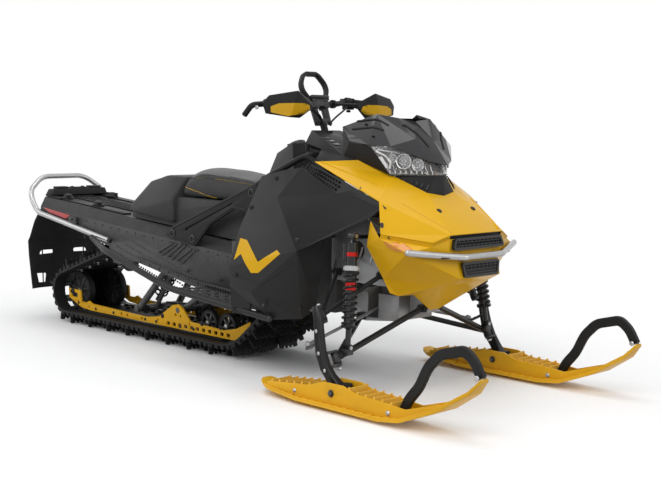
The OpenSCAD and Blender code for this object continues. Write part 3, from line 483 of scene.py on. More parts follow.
def add_bolt(bm, p, axis, r=7, h=5):
    """A button head bolt with a hexagon socket and a washer."""
    d = Vector(axis).normalized()
    p = Vector(p)
    add_lathe(bm, p, d, [(0, 0), (r * 1.35, 0), (r * 1.35, 1.2), (r, 1.2), (r, h * 0.6), (r * 0.75, h),
                         (r * 0.45, h)], 20)
    add_lathe(bm, p, d, [(r * 0.45, h), (r * 0.45, h * 0.45), (0, h * 0.45)], 6)


def slope_top(x):
    """Height of the tunnel's flat top."""
    return 463 + (-560 - x) * math.tan(TUNNEL_FALL)


# ---------- tunnel, boards and rear ----------
def make_tunnel():
    refined("tunnel", "tunnel_shell", "tunnel", 2.5, 2, 12)
    bm = bmesh.new()
    for s in SIDES:
        y = s * (HALF_TUNNEL + 1)
        # three slanted pressed ribs
        for x0, z0, x1, z1 in ((-1357, 405, -1253, 455), (-1291, 392, -1189, 457),
                               (-1229, 380, -1126, 441)):
            add_rod(bm, (x0, y, z0), (x1, y, z1), 5, segments=10)
            add_rod(bm, (x0, y, z0), (x0 + 34, y, z0 - 7), 4.5, segments=10)
            add_rod(bm, (x0 + 34, y, z0 - 7), (x1 + 26, y, z1 - 2), 4.5, segments=10)
        # fold line above the board and along the bevel
        add_rod(bm, (-1500, y, 372), (-1130, y, 312), 2.2, segments=8)
        add_rod(bm, (-1130, y, 312), (-700, y, 282), 2.2, segments=8)
    from_bm(bm, "tunnel_ribs", "tunnel", CH)
    bm = bmesh.new()
    for s in SIDES:
        for k in range(24):
            x = -2200 + k * 62
            z = slope_top(x) - 60 - (0 if k % 2 else 3)
            add_lathe(bm, (x, s * HALF_TUNNEL, z), (0, s, 0), [(0, 2.2), (2.4, 2), (3.8, 0)], 10)
        for k in range(9):
            x = -1480 + k * 66
            z = 352 - (x + 1480) * 0.13
            add_lathe(bm, (x, s * HALF_TUNNEL, z), (0, s, 0), [(0, 2.6), (3, 2.4), (4.6, 0)], 10)
        for x, z in ((-1890, 470), (-1905, 432), (-1150, 345), (-940, 330)):
            add_bolt(bm, (x, s * HALF_TUNNEL, z), (0, s, 0), 6, 5)
    from_bm(bm, "tunnel_rivets", "metal_black", CH)
    # raised pads, strips and fittings on the tunnel's top
    bm = bmesh.new()
    tilt = Matrix.Rotation(TUNNEL_FALL, 3, "Y")
    for s in SIDES:
        add_box(bm, (-1940, s * 138, slope_top(-1940) + 3), (560, 44, 7), tilt)
        add_box(bm, (-2210, s * 150, slope_top(-2210) + 4), (110, 38, 10), tilt)
        for x in (-2170, -2010, -1850):
            add_box(bm, (x, s * 178, slope_top(x) - 14), (92, 30, 4),
                    tilt @ Matrix.Rotation(s * -1.07, 3, "X"))
    add_box(bm, (-1960, 0, slope_top(-1960) + 3), (560, 120, 6), tilt)
    for k in range(5):
        add_box(bm, (-1960, -44 + k * 22, slope_top(-1960) + 7), (520, 7, 5), tilt)
    from_bm(bm, "tunnel_top_pads", "satin", CH, 1.6, 2)
    bm = bmesh.new()
    for s in SIDES:
        for x in (-2150, -1900):
            z = slope_top(x) + 6
            add_lathe(bm, (x, s * 128, z), (0.076, 0, 1),
                      [(0, 0), (30, 0), (30, 6), (22, 10), (19, 18), (12, 22), (0, 22)], 24)
            add_box(bm, (x, s * 128, z + 15), (58, 15, 11), tilt @ Matrix.Rotation(0.5 * s, 3, "Z"))
    from_bm(bm, "cargo_locks", "satin", CH, 1.5, 2)
    # raised housing across the rear end
    bm = bmesh.new()
    for s in SIDES:
        for q in ((-2292, 150, 588), (-2288, 168, 598), (-2286, 150, 630), (-2240, 150, 632),
                  (-2232, 160, 600)):
            bm.verts.new((q[0], s * q[1], q[2]))
    bmesh.ops.convex_hull(bm, input=bm.verts)
    from_bm(bm, "rear_housing", "satin", CH, 4, 3)
    bm = bmesh.new()
    add_box(bm, (-2262, -95, 636), (38, 62, 12))
    add_box(bm, (-2262, 95, 636), (38, 62, 12))
    add_box(bm, (-2262, 0, 634), (34, 84, 8))
    for s in SIDES:
        add_lathe(bm, (-2262, s * 30, 634), (0, 0, 1), [(0, 8), (8, 8), (10, 4), (10, 0)], 16)
    from_bm(bm, "rear_housing_caps", "panel", CH, 2.5, 2)


def make_boards():
    board_tube = [(-1795, -238, 438), (-1523, -364, 412), (-1057, -377, 298), (-648, -377, 265),
                  (-455, -377, 250)]
    path = rounded_path(board_tube, 60)
    bm = bmesh.new()
    add_sweep(bm, path, circle(13, 20))
    add_ball(bm, path[-1], 12.6)
    from_bm(bm, "board_tubes", "metal_black", CH, mirror=True)
    o = refined("running_boards", "board_decks", "metal_black", 0.8, 1, 30)
    # the exact tube is replaced by the smooth one, so its own faces go
    bm = bmesh.new()
    bm.from_mesh(o.data)
    parts = islands(bm)
    gone = [p for p in parts if max(v.co.x for v in p) > at(-500, 0, 0).x]
    bmesh.ops.delete(bm, geom=[v for p in gone for v in p], context="VERTS")
    bm.to_mesh(o.data)
    bm.free()
    # teeth along the deck's bars
    bm = bmesh.new()
    for (xa, ya, za), (xb, yb, zb), lean, n in ((board_tube[1], board_tube[2], 11, 30),
                                                (board_tube[2], board_tube[3], 5, 26)):
        for k in range(n):
            t = (k + 0.5) / n
            for row in range(4):
                y = ya + (yb - ya) * t + 24 + row * 40
                if y > -HALF_TUNNEL - 8:
                    continue
                z = za + (zb - za) * t + 4 + (y - ya) * math.sin(math.radians(lean)) * 1.0
                add_lathe(bm, (xa + (xb - xa) * t, y, z - 4), (0.1, 0, 1),
                          [(4.2, 0), (3.4, 6), (2.2, 7), (1.6, 4)], 6)
    from_bm(bm, "board_teeth", "metal_black", CH, mirror=True)


def islands(bm):
    """The separate pieces of a mesh, as lists of vertices."""
    left, found = set(bm.verts), []
    while left:
        stack = [left.pop()]
        group = []
        while stack:
            v = stack.pop()
            group.append(v)
            for e in v.link_edges:
                w = e.other_vert(v)
                if w in left:
                    left.discard(w)
                    stack.append(w)
        found.append(group)
    return found


def make_rear():
    y_in = HALF_TUNNEL + 12.5 + 0.3
    side = [(-1700, -y_in, 430), (-2278, -y_in, 520), (-2330, -y_in + 2, 570), (-2355, -y_in + 8, 622),
            (-2387, -122, 685)]
    path = rounded_path(side + [(x, -y, z) for x, y, z in reversed(side)], 46, 8)
    bm = bmesh.new()
    add_sweep(bm, path, circle(12.5, 24))
    o = from_bm(bm, "rear_bumper_tube", "silver", CH)
    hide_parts("rear_bumper")
    # snow flap with moulded ribs
    make_flap()
    bm = bmesh.new()
    for s in SIDES:
        add_rod(bm, (-2392, s * 20, 342), (-2392, s * 182, 346), 4, segments=8)
        add_rod(bm, (-2388, s * 20, 262), (-2388, s * 182, 258), 4, segments=8)
        add_rod(bm, (-2340, s * 150, 480), (-2384, s * 176, 388), 4, segments=8)
        add_rod(bm, (-2392, s * 120, 368), (-2380, s * 122, 150), 3.4, segments=8)
    from_bm(bm, "flap_ribs", "rubber", CH)
    refined("tail_lights", "tail_lens", "red_lens", 2)
    # dark end cap and clamp where the bumper tube meets the tunnel
    bm = bmesh.new()
    for s in SIDES:
        add_rod(bm, (-1700, s * y_in, 430), (-1688, s * y_in, 428), 10)
        add_box(bm, (-1990, s * (HALF_TUNNEL + 7), 500), (60, 13, 34))
        add_bolt(bm, (-1990, s * (HALF_TUNNEL + 13), 506), (0, s, 0), 6, 5)
    from_bm(bm, "bumper_clamps", "metal_black", CH, 1.5)


FLAP_PROFILE = [(-2302, 548), (-2330, 500), (-2378, 392), (-2392, 372), (-2392, 300), (-2378, 135)]


def make_flap():
    """The snow flap: a sheet that follows the profile, with slanted windows and turned edges."""
    def half_width(z):
        return along([(135, 196), (372, 210), (470, 205), (548, 186)], z)

    windows = [[(-146, 299), (-58, 302), (-62, 320), (-126, 320)],
               [(58, 302), (146, 299), (126, 320), (62, 320)],
               [(-152, 162), (-112, 160), (-104, 205), (-160, 207)],
               [(112, 160), (152, 162), (160, 207), (104, 205)]]
    bm = bmesh.new()
    dense = []
    for (x0, z0), (x1, z1) in zip(FLAP_PROFILE, FLAP_PROFILE[1:]):
        n = max(1, int(math.hypot(x1 - x0, z1 - z0) / 9))
        dense += [(x0 + (x1 - x0) * k / n, z0 + (z1 - z0) * k / n) for k in range(n)]
    dense.append(FLAP_PROFILE[-1])
    cols = 60
    grid = []
    for x, z in dense:
        w = half_width(z)
        grid.append([bm.verts.new((x + 16 * (abs(c / cols * 2 - 1) ** 8), -w + 2 * w * c / cols,
                                   z)) for c in range(cols + 1)])

    def inside(poly, y, z):
        hit = False
        for (y0, z0), (y1, z1) in zip(poly, poly[1:] + poly[:1]):
            if (z0 > z) != (z1 > z) and y < (y1 - y0) * (z - z0) / (z1 - z0) + y0:
                hit = not hit
        return hit

    rims = [set() for _ in windows]
    for a, b in zip(grid, grid[1:]):
        for c in range(cols):
            quad = (a[c], a[c + 1], b[c + 1], b[c])
            y = sum(v.co.y for v in quad) / 4
            z = sum(v.co.z for v in quad) / 4
            cut = [k for k, w in enumerate(windows) if inside(w, y, z)]
            if cut:
                rims[cut[0]].update(quad)
            else:
                bm.faces.new(quad)
    # the cut edges are drawn onto the window outlines
    for rim, w in zip(rims, windows):
        for v in rim:
            if v.link_faces:
                near = None
                for (y0, z0), (y1, z1) in zip(w, w[1:] + w[:1]):
                    length2 = (y1 - y0) ** 2 + (z1 - z0) ** 2
                    u = ((v.co.y - y0) * (y1 - y0) + (v.co.z - z0) * (z1 - z0)) / length2
                    u = min(1, max(0, u))
                    y, z = y0 + u * (y1 - y0), z0 + u * (z1 - z0)
                    gap = math.hypot(v.co.y - y, v.co.z - z)
                    if near is None or gap < near[0]:
                        near = (gap, y, z)
                v.co.y, v.co.z = near[1], near[2]
    bmesh.ops.delete(bm, geom=[v for v in bm.verts if not v.link_faces], context="VERTS")
    bmesh.ops.solidify(bm, geom=bm.faces[:], thickness=5)
    o = from_bm(bm, "flap_sheet", "rubber", CH, smooth=50)
    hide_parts("snow_flap")


def make_braces():
    bm = bmesh.new()
    outline = [(-1294, 485), (-1250, 524), (-721, 738), (-640, 748), (-640, 640), (-764, 620), (-847, 627),
               (-990, 556), (-1093, 455)]
    slot = [(-1150, 517), (-1156, 522), (-1150, 527), (-856, 652), (-848, 650), (-850, 643)]
    y0 = -HALF_TUNNEL - 14
    add_plate(bm, outline, [slot], y0, -HALF_TUNNEL - 0.3)
    o = from_bm(bm, "brace_plates", "panel", CH, 2.2, 3, mirror=True)
    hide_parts("tunnel_braces")
    bm = bmesh.new()
    rim = [(-1225, y0, 500), (-1262, y0, 493), (-1240, y0, 520), (-760, y0, 714)]
    add_sweep(bm, rounded_path(rim[1:], 12), circle(3, 8))
    add_sweep(bm, rounded_path([(-1090, y0, 472), (-990, y0, 567), (-850, y0, 637), (-770, y0, 630)], 12),
              circle(3, 8))
    from_bm(bm, "brace_rims", "panel", CH, mirror=True)
    bm = bmesh.new()
    for x, z in ((-1237, 500), (-1104, 487), (-740, 700)):
        add_lathe(bm, (x, y0 - 0.5, z), (0, -1, 0), [(16, 0), (16, 3), (12, 4), (12, 0.4), (0, 0.4)], 24)
        add_bolt(bm, (x, y0, z), (0, -1, 0), 6, 5)
    from_bm(bm, "brace_bolts", "metal_black", CH, mirror=True)


# ---------- seat group ----------
def make_tank():
    refined("fuel_tank", "tank_shell", "tank", 9, 4, 10)
    refined("rear_trunk", "trunk_box", "tank", 8, 3, 10)
    bm = bmesh.new()
    # parting line, knee grooves and the trunk's strap
    for s in SIDES:
        add_sweep(bm, rounded_path([(-1560, s * 164, 566), (-1280, s * 162.5, 556), (-905, s * 161, 546)],
                                   20),
                  circle(1.8, 6))
        for k in range(3):
            z = 690 + k * 34
            add_rod(bm, (-735 + k * 6, s * (118 - k * 18), z), (-640, s * (150 - k * 20), z + 22), 4,
                    segments=8)
    add_rod(bm, (-1395, -78, 727), (-1395, 78, 727), 7, segments=12)
    from_bm(bm, "tank_lines", "satin", CH)
    # raised faceted shoulder behind the seat
    bm = bmesh.new()
    pts = [(-1588, 186, 572), (-1272, 188, 540), (-1606, 166, 594), (-1300, 172, 642), (-1540, 100, 704),
           (-1505, 128, 650), (-1434, 84, 735), (-1312, 84, 733), (-1300, 150, 650), (-1590, 120, 600)]
    for s in SIDES:
        for q in pts:
            bm.verts.new((q[0], s * q[1], q[2]))
    made = bmesh.ops.convex_hull(bm, input=bm.verts[:])
    bmesh.ops.delete(bm, geom=[g for g in made["geom_interior"] if isinstance(g, bmesh.types.BMVert)],
                     context="VERTS")
    from_bm(bm, "tank_shoulder", "tank", CH, 10, 4, smooth=50, limit=8)
    # filler cap on the tank between seat and console
    bm = bmesh.new()
    add_lathe(bm, (-700, 0, 874), (-0.42, 0, 0.9),
              [(0, 26), (30, 26), (36, 22), (38, 6), (46, 4), (46, -6), (0, -6)], 40)
    for k in range(12):
        a = math.pi * k / 6
        add_box(bm, (-700 + 37 * math.cos(a) - 6, 37 * math.sin(a), 888 + 16 * math.cos(a) * 0.42),
                (7, 7, 14))
    from_bm(bm, "filler_cap", "graphite", CH, 1)


def make_seat():
    """Crowned cushion: a swollen body with piping seams, stitches and a lighter top panel."""
    sections = [  # x, half width at the foot, half width at the shoulder, foot z, shoulder z, top z
        (-1290, 96, 84, 668, 690, 704), (-1282, 118, 100, 653, 704, 736), (-1262, 126, 101, 650, 722, 762),
        (-1225, 129, 101, 649, 738, 774), (-1160, 132, 103, 648.6, 742, 777),
        (-1060, 136, 105, 648.6, 740, 773), (-960, 138, 107, 648.6, 734, 764),
        (-880, 140, 108, 648.6, 727, 753), (-830, 139, 107, 649, 720, 744), (-812, 132, 101, 652, 710, 730)]
    bm = bmesh.new()
    rings = []
    for x, w0, w1, z0, z1, z2 in sections:
        half = [(w0 * 0.9, z0), (w0, z0 + 10), (w0 + 3, (z0 * 2 + z1) / 3),
                (w0 * 0.55 + w1 * 0.5, (z0 + 3 * z1) / 4), (w1 + 3, z1 - 2), (w1, z1 + 5),
                (w1 * 0.78, z1 + (z2 - z1) * 0.66), (w1 * 0.4, z1 + (z2 - z1) * 0.94)]
        ring = [(y, z) for y, z in half] + [(0, z2)] + [(-y, z) for y, z in reversed(half)]
        rings.append([bm.verts.new((x, -y, z)) for y, z in ring])
    skin(bm, rings)
    bm.faces.new(rings[0])
    bm.faces.new(list(reversed(rings[-1])))
    bmesh.ops.recalc_face_normals(bm, faces=bm.faces)
    o = from_bm(bm, "seat_cushion", "seat", CH, smooth=None)
    sub = o.modifiers.new("sub", "SUBSURF")
    sub.levels = sub.render_levels = 2
    apply_modifiers(o)
    puff = bmesh.new()
    puff.from_mesh(o.data)
    for v in puff.verts:
        x = v.co.x / MM + X_MID
        z = v.co.z / MM
        y = abs(v.co.y / MM)
        # the foam pulls in at the seams and crowns between them
        seam = math.exp(-((z - (742 - (x + 1160) * -0.07)) / 5.0) ** 2) if y > 80 else 0
        diag = math.exp(-((z - seat_diagonal(x)) / 4.0) ** 2) if y > 108 and -1275 < x < -1035 else 0
        v.co -= v.normal * (1.7 * seam + 1.4 * diag) * MM
        v.co += v.normal * 0.9 * MM * math.sin(x * 0.045 + z * 0.03)
    puff.to_mesh(o.data)
    puff.free()
    for p in o.data.polygons:
        p.use_smooth = True
    o.data.materials.append(MAT["seat_top"])
    for p in o.data.polygons:
        x = p.center.x / MM + X_MID
        if p.normal.z > 0.55 and p.center.z / MM > 728 and abs(p.center.y) / MM < 96 and x < -822:
            p.material_index = 1
    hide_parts("seat")
    # stitches follow the shell: each is dropped on the nearest point of the cushion
    bm = bmesh.new()
    lines = []
    for s in SIDES:
        lines.append([(-1262 + 3.6 * k, s * 112, 741 - 0.06 * max(0, 3.6 * k - 100)) for k in range(122)])
        lines.append([(-1273 + 3.6 * k, s * 140, seat_diagonal(-1273 + 3.6 * k)) for k in range(64)])
    for line in lines:
        for k in range(0, len(line) - 1):
            a, b = on_surface(o, line[k]), on_surface(o, line[k + 1])
            add_rod(bm, a + (b - a) * 0.12, a + (b - a) * 0.88, 0.8, segments=5)
    from_bm(bm, "seat_stitching", "stitch", CH)
    # piping bead along the same seams
    bm = bmesh.new()
    for s in SIDES:
        pts = [on_surface(o, (-1266 + 11 * k, s * 114,
                              744.5 - 0.06 * max(0, 11 * k - 100))) for k in range(41)]
        add_sweep(bm, pts, circle(1.6, 8))
    from_bm(bm, "seat_piping", "seat", CH)


def seat_diagonal(x):
    """Height of the slanted seam on the seat's side."""
    return SEAT_SLOPE_Z - (x + 1273) * 0.236


def on_surface(o, p):
    """The point of a mesh nearest to p, in datum millimetres."""
    loc, normal, _, _ = tree_of(o).find_nearest(at(*p))
    return datum(loc + normal * 0.0004)


def apply_modifiers(o):
    dg = bpy.context.evaluated_depsgraph_get()
    dg.update()
    mesh = bpy.data.meshes.new_from_object(o.evaluated_get(dg))
    old = o.data
    o.modifiers.clear()
    o.data = mesh
    bpy.data.meshes.remove(old)


# ---------- body panels ----------
def drape(name, outline, target, mat, body, direction, lift=0.7, thick=0.9, mirror=True):
    """A thin trim piece: an outline laid on the target along a direction, then thickened."""
    bm = bmesh.new()
    face = bm.faces.new([bm.verts.new(p) for p in outline])
    bmesh.ops.triangulate(bm, faces=[face])
    for _ in range(4):
        long = [e for e in bm.edges if e.calc_length() > 9]
        if long:
            bmesh.ops.subdivide_edges(bm, edges=long, cuts=1)
            bmesh.ops.triangulate(bm, faces=bm.faces)
    d = Vector(direction).normalized()
    gone = []
    for v in bm.verts:
        loc = cast(target, at(*(v.co - d * 250)), d)
        if loc:
            v.co = datum(loc) - d * lift
        else:
            gone.append(v)
    bmesh.ops.delete(bm, geom=gone, context="VERTS")
    back = bmesh.ops.duplicate(bm, geom=bm.verts[:] + bm.edges[:] + bm.faces[:])
    moved = [g for g in back["geom"] if isinstance(g, bmesh.types.BMVert)]
    for v in moved:
        v.co += d * thick
    rim = [e for e in bm.edges if len(e.link_faces) == 1]
    pairs = back["vert_map"]
    moved_set = set(moved)
    for e in rim:
        a, b = e.verts
        if a in moved_set or b in moved_set:
            continue
        bm.faces.new((a, b, pairs[b], pairs[a]))
    bmesh.ops.recalc_face_normals(bm, faces=bm.faces)
    return from_bm(bm, name, mat, body, mirror=mirror, smooth=50)


def make_panels():
    right = refined("side_panel_right", "side_panel_r", "panel", 11, 5, 6, 60)
    refined("side_panel_left", "side_panel_l", "panel", 11, 5, 6, 60)
    stripe = [(-619, 539), (-580, 535), (-494, 461), (-396, 514), (-373, 502), (-489, 420), (-529, 416),
              (-599, 481), (-634, 455)]
    drape("side_stripe", [(x, -430, z) for x, z in stripe], right, "yellow", CH, (0, 1, 0))
    # grooves and fasteners on the lower panel
    bm = bmesh.new()
    for x, z in ((-560, 285), (-615, 400), (-330, 300), (-600, 655), (-500, 770)):
        add_lathe(bm, side_point(right, x, z, 0), (0, -1, 0),
                  [(0, 5), (8, 4.4), (9.5, 2), (9.5, -3), (0, -3)], 20)
    from_bm(bm, "panel_fasteners", "satin", CH, mirror=True)
    for k, (x0, z0, x1, z1) in enumerate(((-632, 395, -470, 378), (-470, 378, -320, 470))):
        n = 16
        bm = bmesh.new()
        pts = [side_point(right, x0 + (x1 - x0) * i / n, z0 + (z1 - z0) * i / n, 0.4) for i in range(n + 1)]
        add_sweep(bm, pts, circle(2.2, 8))
        from_bm(bm, f"panel_bead_{k}", "satin", CH, mirror=True)


def side_point(target, x, z, lift):
    """The outside of the right panel at (x, z)."""
    loc = cast(target, at(x, -700, z), Vector((0, 1, 0)))
    y = loc.y / MM if loc else -300
    return Vector((x, y - lift, z))


def top_point(target, x, y, lift=0.5):
    """The topmost point of a mesh at (x, y)."""
    loc = cast(target, at(x, y, 1400), Vector((0, 0, -1)))
    return Vector((x, y, (loc.z / MM if loc else 600) + lift))


def add_crest(bm, target, start, run, n, lift, outline):
    """A bead swept along the top of a mesh, from start over run, both (x, y), in n steps."""
    (x, y), (dx, dy) = start, run
    pts = [top_point(target, x + dx * i / n, y + dy * i / n, lift) for i in range(n + 1)]
    add_sweep(bm, pts, outline)


def make_nose():
    hood = refined("hood", "hood_panel", "yellow", 9, 5, 5, 60)
    nose = refined("nose_fascia", "nose_panel", "yellow", 7, 4, 6, 50)
    # dark fastener at the hood's foot, seam beads
    bm = bmesh.new()
    for s in SIDES:
        p = top_point(hood, 120, s * 96)
        add_lathe(bm, p, (0.55, 0, 0.83), [(0, 2.4), (9, 2), (11, 0), (11, -4), (0, -4)], 24)
    from_bm(bm, "hood_pins", "satin", CH)
    bm = bmesh.new()
    bead = [(-4, -2), (4, -2), (1.5, 2.2), (-1.5, 2.2)]
    for s in SIDES:
        add_crest(bm, hood, (30, s * 196), (178, s * -62), 22, 0.2, bead)
        add_crest(bm, hood, (-330, s * 236), (250, s * -30), 22, 0.2, bead)
    from_bm(bm, "hood_creases", "yellow", CH)
    marker = [(52, -330, 577), (106, -330, 577), (152, -330, 556), (148, -330, 546), (102, -330, 547),
              (72, -330, 556)]
    drape("side_marker", marker, nose, "amber", CH, (0, 1, 0), lift=1.6, thick=2.0)
    slot = [(60, -330, 600), (168, -330, 581), (160, -330, 574), (64, -330, 589)]
    drape("nose_slot", slot, nose, "satin", CH, (0, 1, 0), lift=0.8, thick=1)
    # lip between hood and nose, and the dark plate behind the grilles
    bm = bmesh.new()
    add_shell(bm, [((39, -313, 604), (193, -213, 580), (188, -215, 561), (36, -315, 586)),
                   ((193, -213, 580), (216, -147, 604), (210, -147, 586), (188, -215, 561))], 3)
    from_bm(bm, "hood_lip", "yellow", CH, mirror=True)
    bm = bmesh.new()
    add_shell(bm, [((208, -150, 602), (208, 150, 602), (206, 140, 540), (206, -140, 540)),
                   ((206, -140, 540), (206, 140, 540), (214, 112, 452), (214, -112, 452))], 3)
    from_bm(bm, "grille_backing", "satin", CH)
    # grilles: frame, slats and honeycomb
    bm = bmesh.new()
    for x0, z0, x1, z1, ya, yb in ((222, 586, 227, 554, 128, 140), (236, 502, 241, 456, 102, 92)):
        loop = [(x0, -ya, z0), (x0, ya, z0), (x1, yb, z1), (x1, -yb, z1)]
        add_sweep(bm, rounded_closed(loop, 9), [(-5, -3), (5, -3), (5, 4), (-5, 4)], closed=True,
                  up=(1, 0, 0.15))
        rows = 4 if z0 - z1 > 40 else 3
        for r in range(1, rows):
            t = r / rows
            y = ya + (yb - ya) * t
            add_box(bm, (x0 + (x1 - x0) * t, 0, z0 + (z1 - z0) * t), (5, 2 * y - 6, 2.6))
        for k in range(-11, 12):
            y = k * 11.5
            if abs(y) < min(ya, yb) - 6:
                add_box(bm, ((x0 + x1) / 2, y, (z0 + z1) / 2), (4, 2.2, abs(z0 - z1) - 6),
                        Matrix.Rotation(0.28 if k % 2 else -0.28, 3, "X"))
    from_bm(bm, "grille_bars", "gloss_black", CH)
    frame["nodes"]["grilles"].data.materials.clear()
    frame["nodes"]["grilles"].data.materials.append(MAT["satin"])
    # bumper bar: flattened silver tube with round end caps
    bm = bmesh.new()
    half = [(157, -305, 546), (196, -222, 537), (238, -132, 528), (252, -106, 526)]
    path = rounded_path(half + [(x, -y, z) for x, y, z in reversed(half)], 40)
    add_sweep(bm, path, [(x * 0.95, y * 1.0) for x, y in circle(11.5, 20)])
    for s in SIDES:
        add_ball(bm, (157, s * 305, 546), 11)
    o = from_bm(bm, "front_bumper_bar", "silver", CH)
    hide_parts("front_bumper")
    bm = bmesh.new()
    for s in SIDES:
        add_box(bm, (222, s * 96, 524), (46, 22, 16))
        add_box(bm, (212, s * 176, 530), (30, 34, 12), Matrix.Rotation(s * 0.45, 3, "Z"))
    from_bm(bm, "bumper_brackets", "satin", CH, 2)


def rounded_closed(loop, radius, steps=4):
    """The corners of a closed loop turned into arcs."""
    pts = [Vector(p) for p in loop]
    out = []
    for i, b in enumerate(pts):
        a, c = pts[i - 1], pts[(i + 1) % len(pts)]
        u, v = a - b, c - b
        out += arc(b + u.normalized() * radius, b, b + v.normalized() * radius, steps)
    return out


def make_headlight():
    refined("headlight", "headlight_lens", "lens", 3, 2, 10)
    bm = bmesh.new()
    for s in SIDES:
        # housing behind the lens
        pts = [(-110, 178, 892), (-66, 150, 812), (-70, 158, 884), (18, 34, 808), (18, 34, 838),
               (-66, 40, 812), (-70, 40, 874), (-112, 60, 880)]
        bmesh.ops.convex_hull(bm, input=[bm.verts.new((x, s * y, z)) for x, y, z in pts])
    from_bm(bm, "headlight_housing", "graphite", CH, 3, 2)
    bowls, bulbs = bmesh.new(), bmesh.new()
    for s in SIDES:
        for (x, y, z), r in (((-38, 118, 848), 25), ((-8, 74, 836), 20), ((-62, 152, 858), 15)):
            d = Vector((0.82, s * 0.55, 0.05))
            add_lathe(bowls, (x, s * y, z), d,
                      [(r * 0.3, -r * 0.2), (r * 0.75, r * 0.12), (r, r * 0.62), (r * 1.12, r * 0.66),
                                              (r * 1.12, r * 0.5), (r * 0.8, -r * 0.05),
                                              (r * 0.3, -r * 0.3)], 32)
            add_lathe(bulbs, (x, s * y, z), d,
                      [(0, r * 0.7), (r * 0.3, r * 0.62), (r * 0.5, r * 0.4), (r * 0.56, r * 0.1), (0, 0)],
                      24)
        for k in range(5):
            add_box(bowls, (-70 + k * 19, s * (160 - k * 25), 822 + k * 0.5), (4, 22, 5),
                    Matrix.Rotation(s * -0.55, 3, "Z"))
            add_box(bowls, (-62 + k * 17, s * (150 - k * 24), 878 - k * 8), (4, 20, 4),
                    Matrix.Rotation(s * -0.55, 3, "Z"))
    guides = bmesh.new()
    for s in SIDES:
        arrow = [Vector((-104, s * 190, 884)), Vector((-74, s * 172, 868)), Vector((-58, s * 160, 846)),
                 Vector((-62, s * 160, 822))]
        add_sweep(guides, rounded_path(arrow, 6), circle(3.6, 10))
        arrow = [Vector((-100, s * 187, 890)), Vector((-66, s * 150, 882)), Vector((-50, s * 120, 876))]
        add_sweep(guides, rounded_path(arrow, 6), circle(3.2, 10))
        for k in range(9):
            t = k / 8
            p = Vector((-60, s * 158, 806)).lerp(Vector((36, s * 34, 804)), t)
            add_box(bowls, p + Vector((-2, 0, 5)), (5, 9, 12), Matrix.Rotation(s * -0.65, 3, "Z"))
            add_rod(bowls, p + Vector((-8, 0, 10)), p + Vector((-16, 0, 34)), 2.6)
    from_bm(guides, "headlight_guides", "guide", CH)
    from_bm(bowls, "headlight_reflectors", "chrome", CH)
    from_bm(bulbs, "headlight_projectors", "lens", CH)


def make_screen():
    screen = refined("windshield", "windshield_panel", "screen", 7, 4, 8, 50)
    bm = bmesh.new()
    for s in SIDES:
        for y in (172, 146):
            add_crest(bm, screen, (-240, s * y), (130, s * -30), 14, 0.4,
                      [(-5, -2), (5, -2), (2, 2.6), (-2, 2.6)])
        add_crest(bm, screen, (-70, s * 88), (90, s * -46), 12, 0.4, [(-6, -2), (6, -2), (2, 3), (-2, 3)])
        add_bolt(bm, top_point(screen, -190, s * 150), (-0.1, s * -0.2, 1), 5, 4)
        add_bolt(bm, top_point(screen, -130, s * 176), (-0.1, s * -0.4, 1), 5, 4)
    from_bm(bm, "screen_ribs", "satin", CH)
    console = refined("console", "console_cover", "satin", 9, 4, 10)
    bm = bmesh.new()
    for s in SIDES:
        for k in range(3):
            p = top_point(console, -455 + k * 34, s * (92 + k * 6))
            add_box(bm, p, (16, 34, 5), Matrix.Rotation(0.32, 3, "Y"))
    p = top_point(console, -420, 66)
    add_lathe(bm, p, (0.3, 0, 0.95), [(17, -3), (17, 4), (13, 7), (0, 7)], 28)
    add_box(bm, p + Vector((2, 0, 11)), (5, 22, 10))
    from_bm(bm, "console_switches", "gloss_black", CH, 1)
    refined("gauge", "gauge_case", "gloss_black", 3, 3)
    bm = bmesh.new()
    # bellows round the foot of the steering post
    for k in range(4):
        c = post(0, 0, -52 - k * 9)
        add_lathe(bm, c, (-0.375, 0, 0.927), [(22, -4), (30 - k, 0), (22, 4)], 28)
    from_bm(bm, "post_bellows", "rubber", CH)


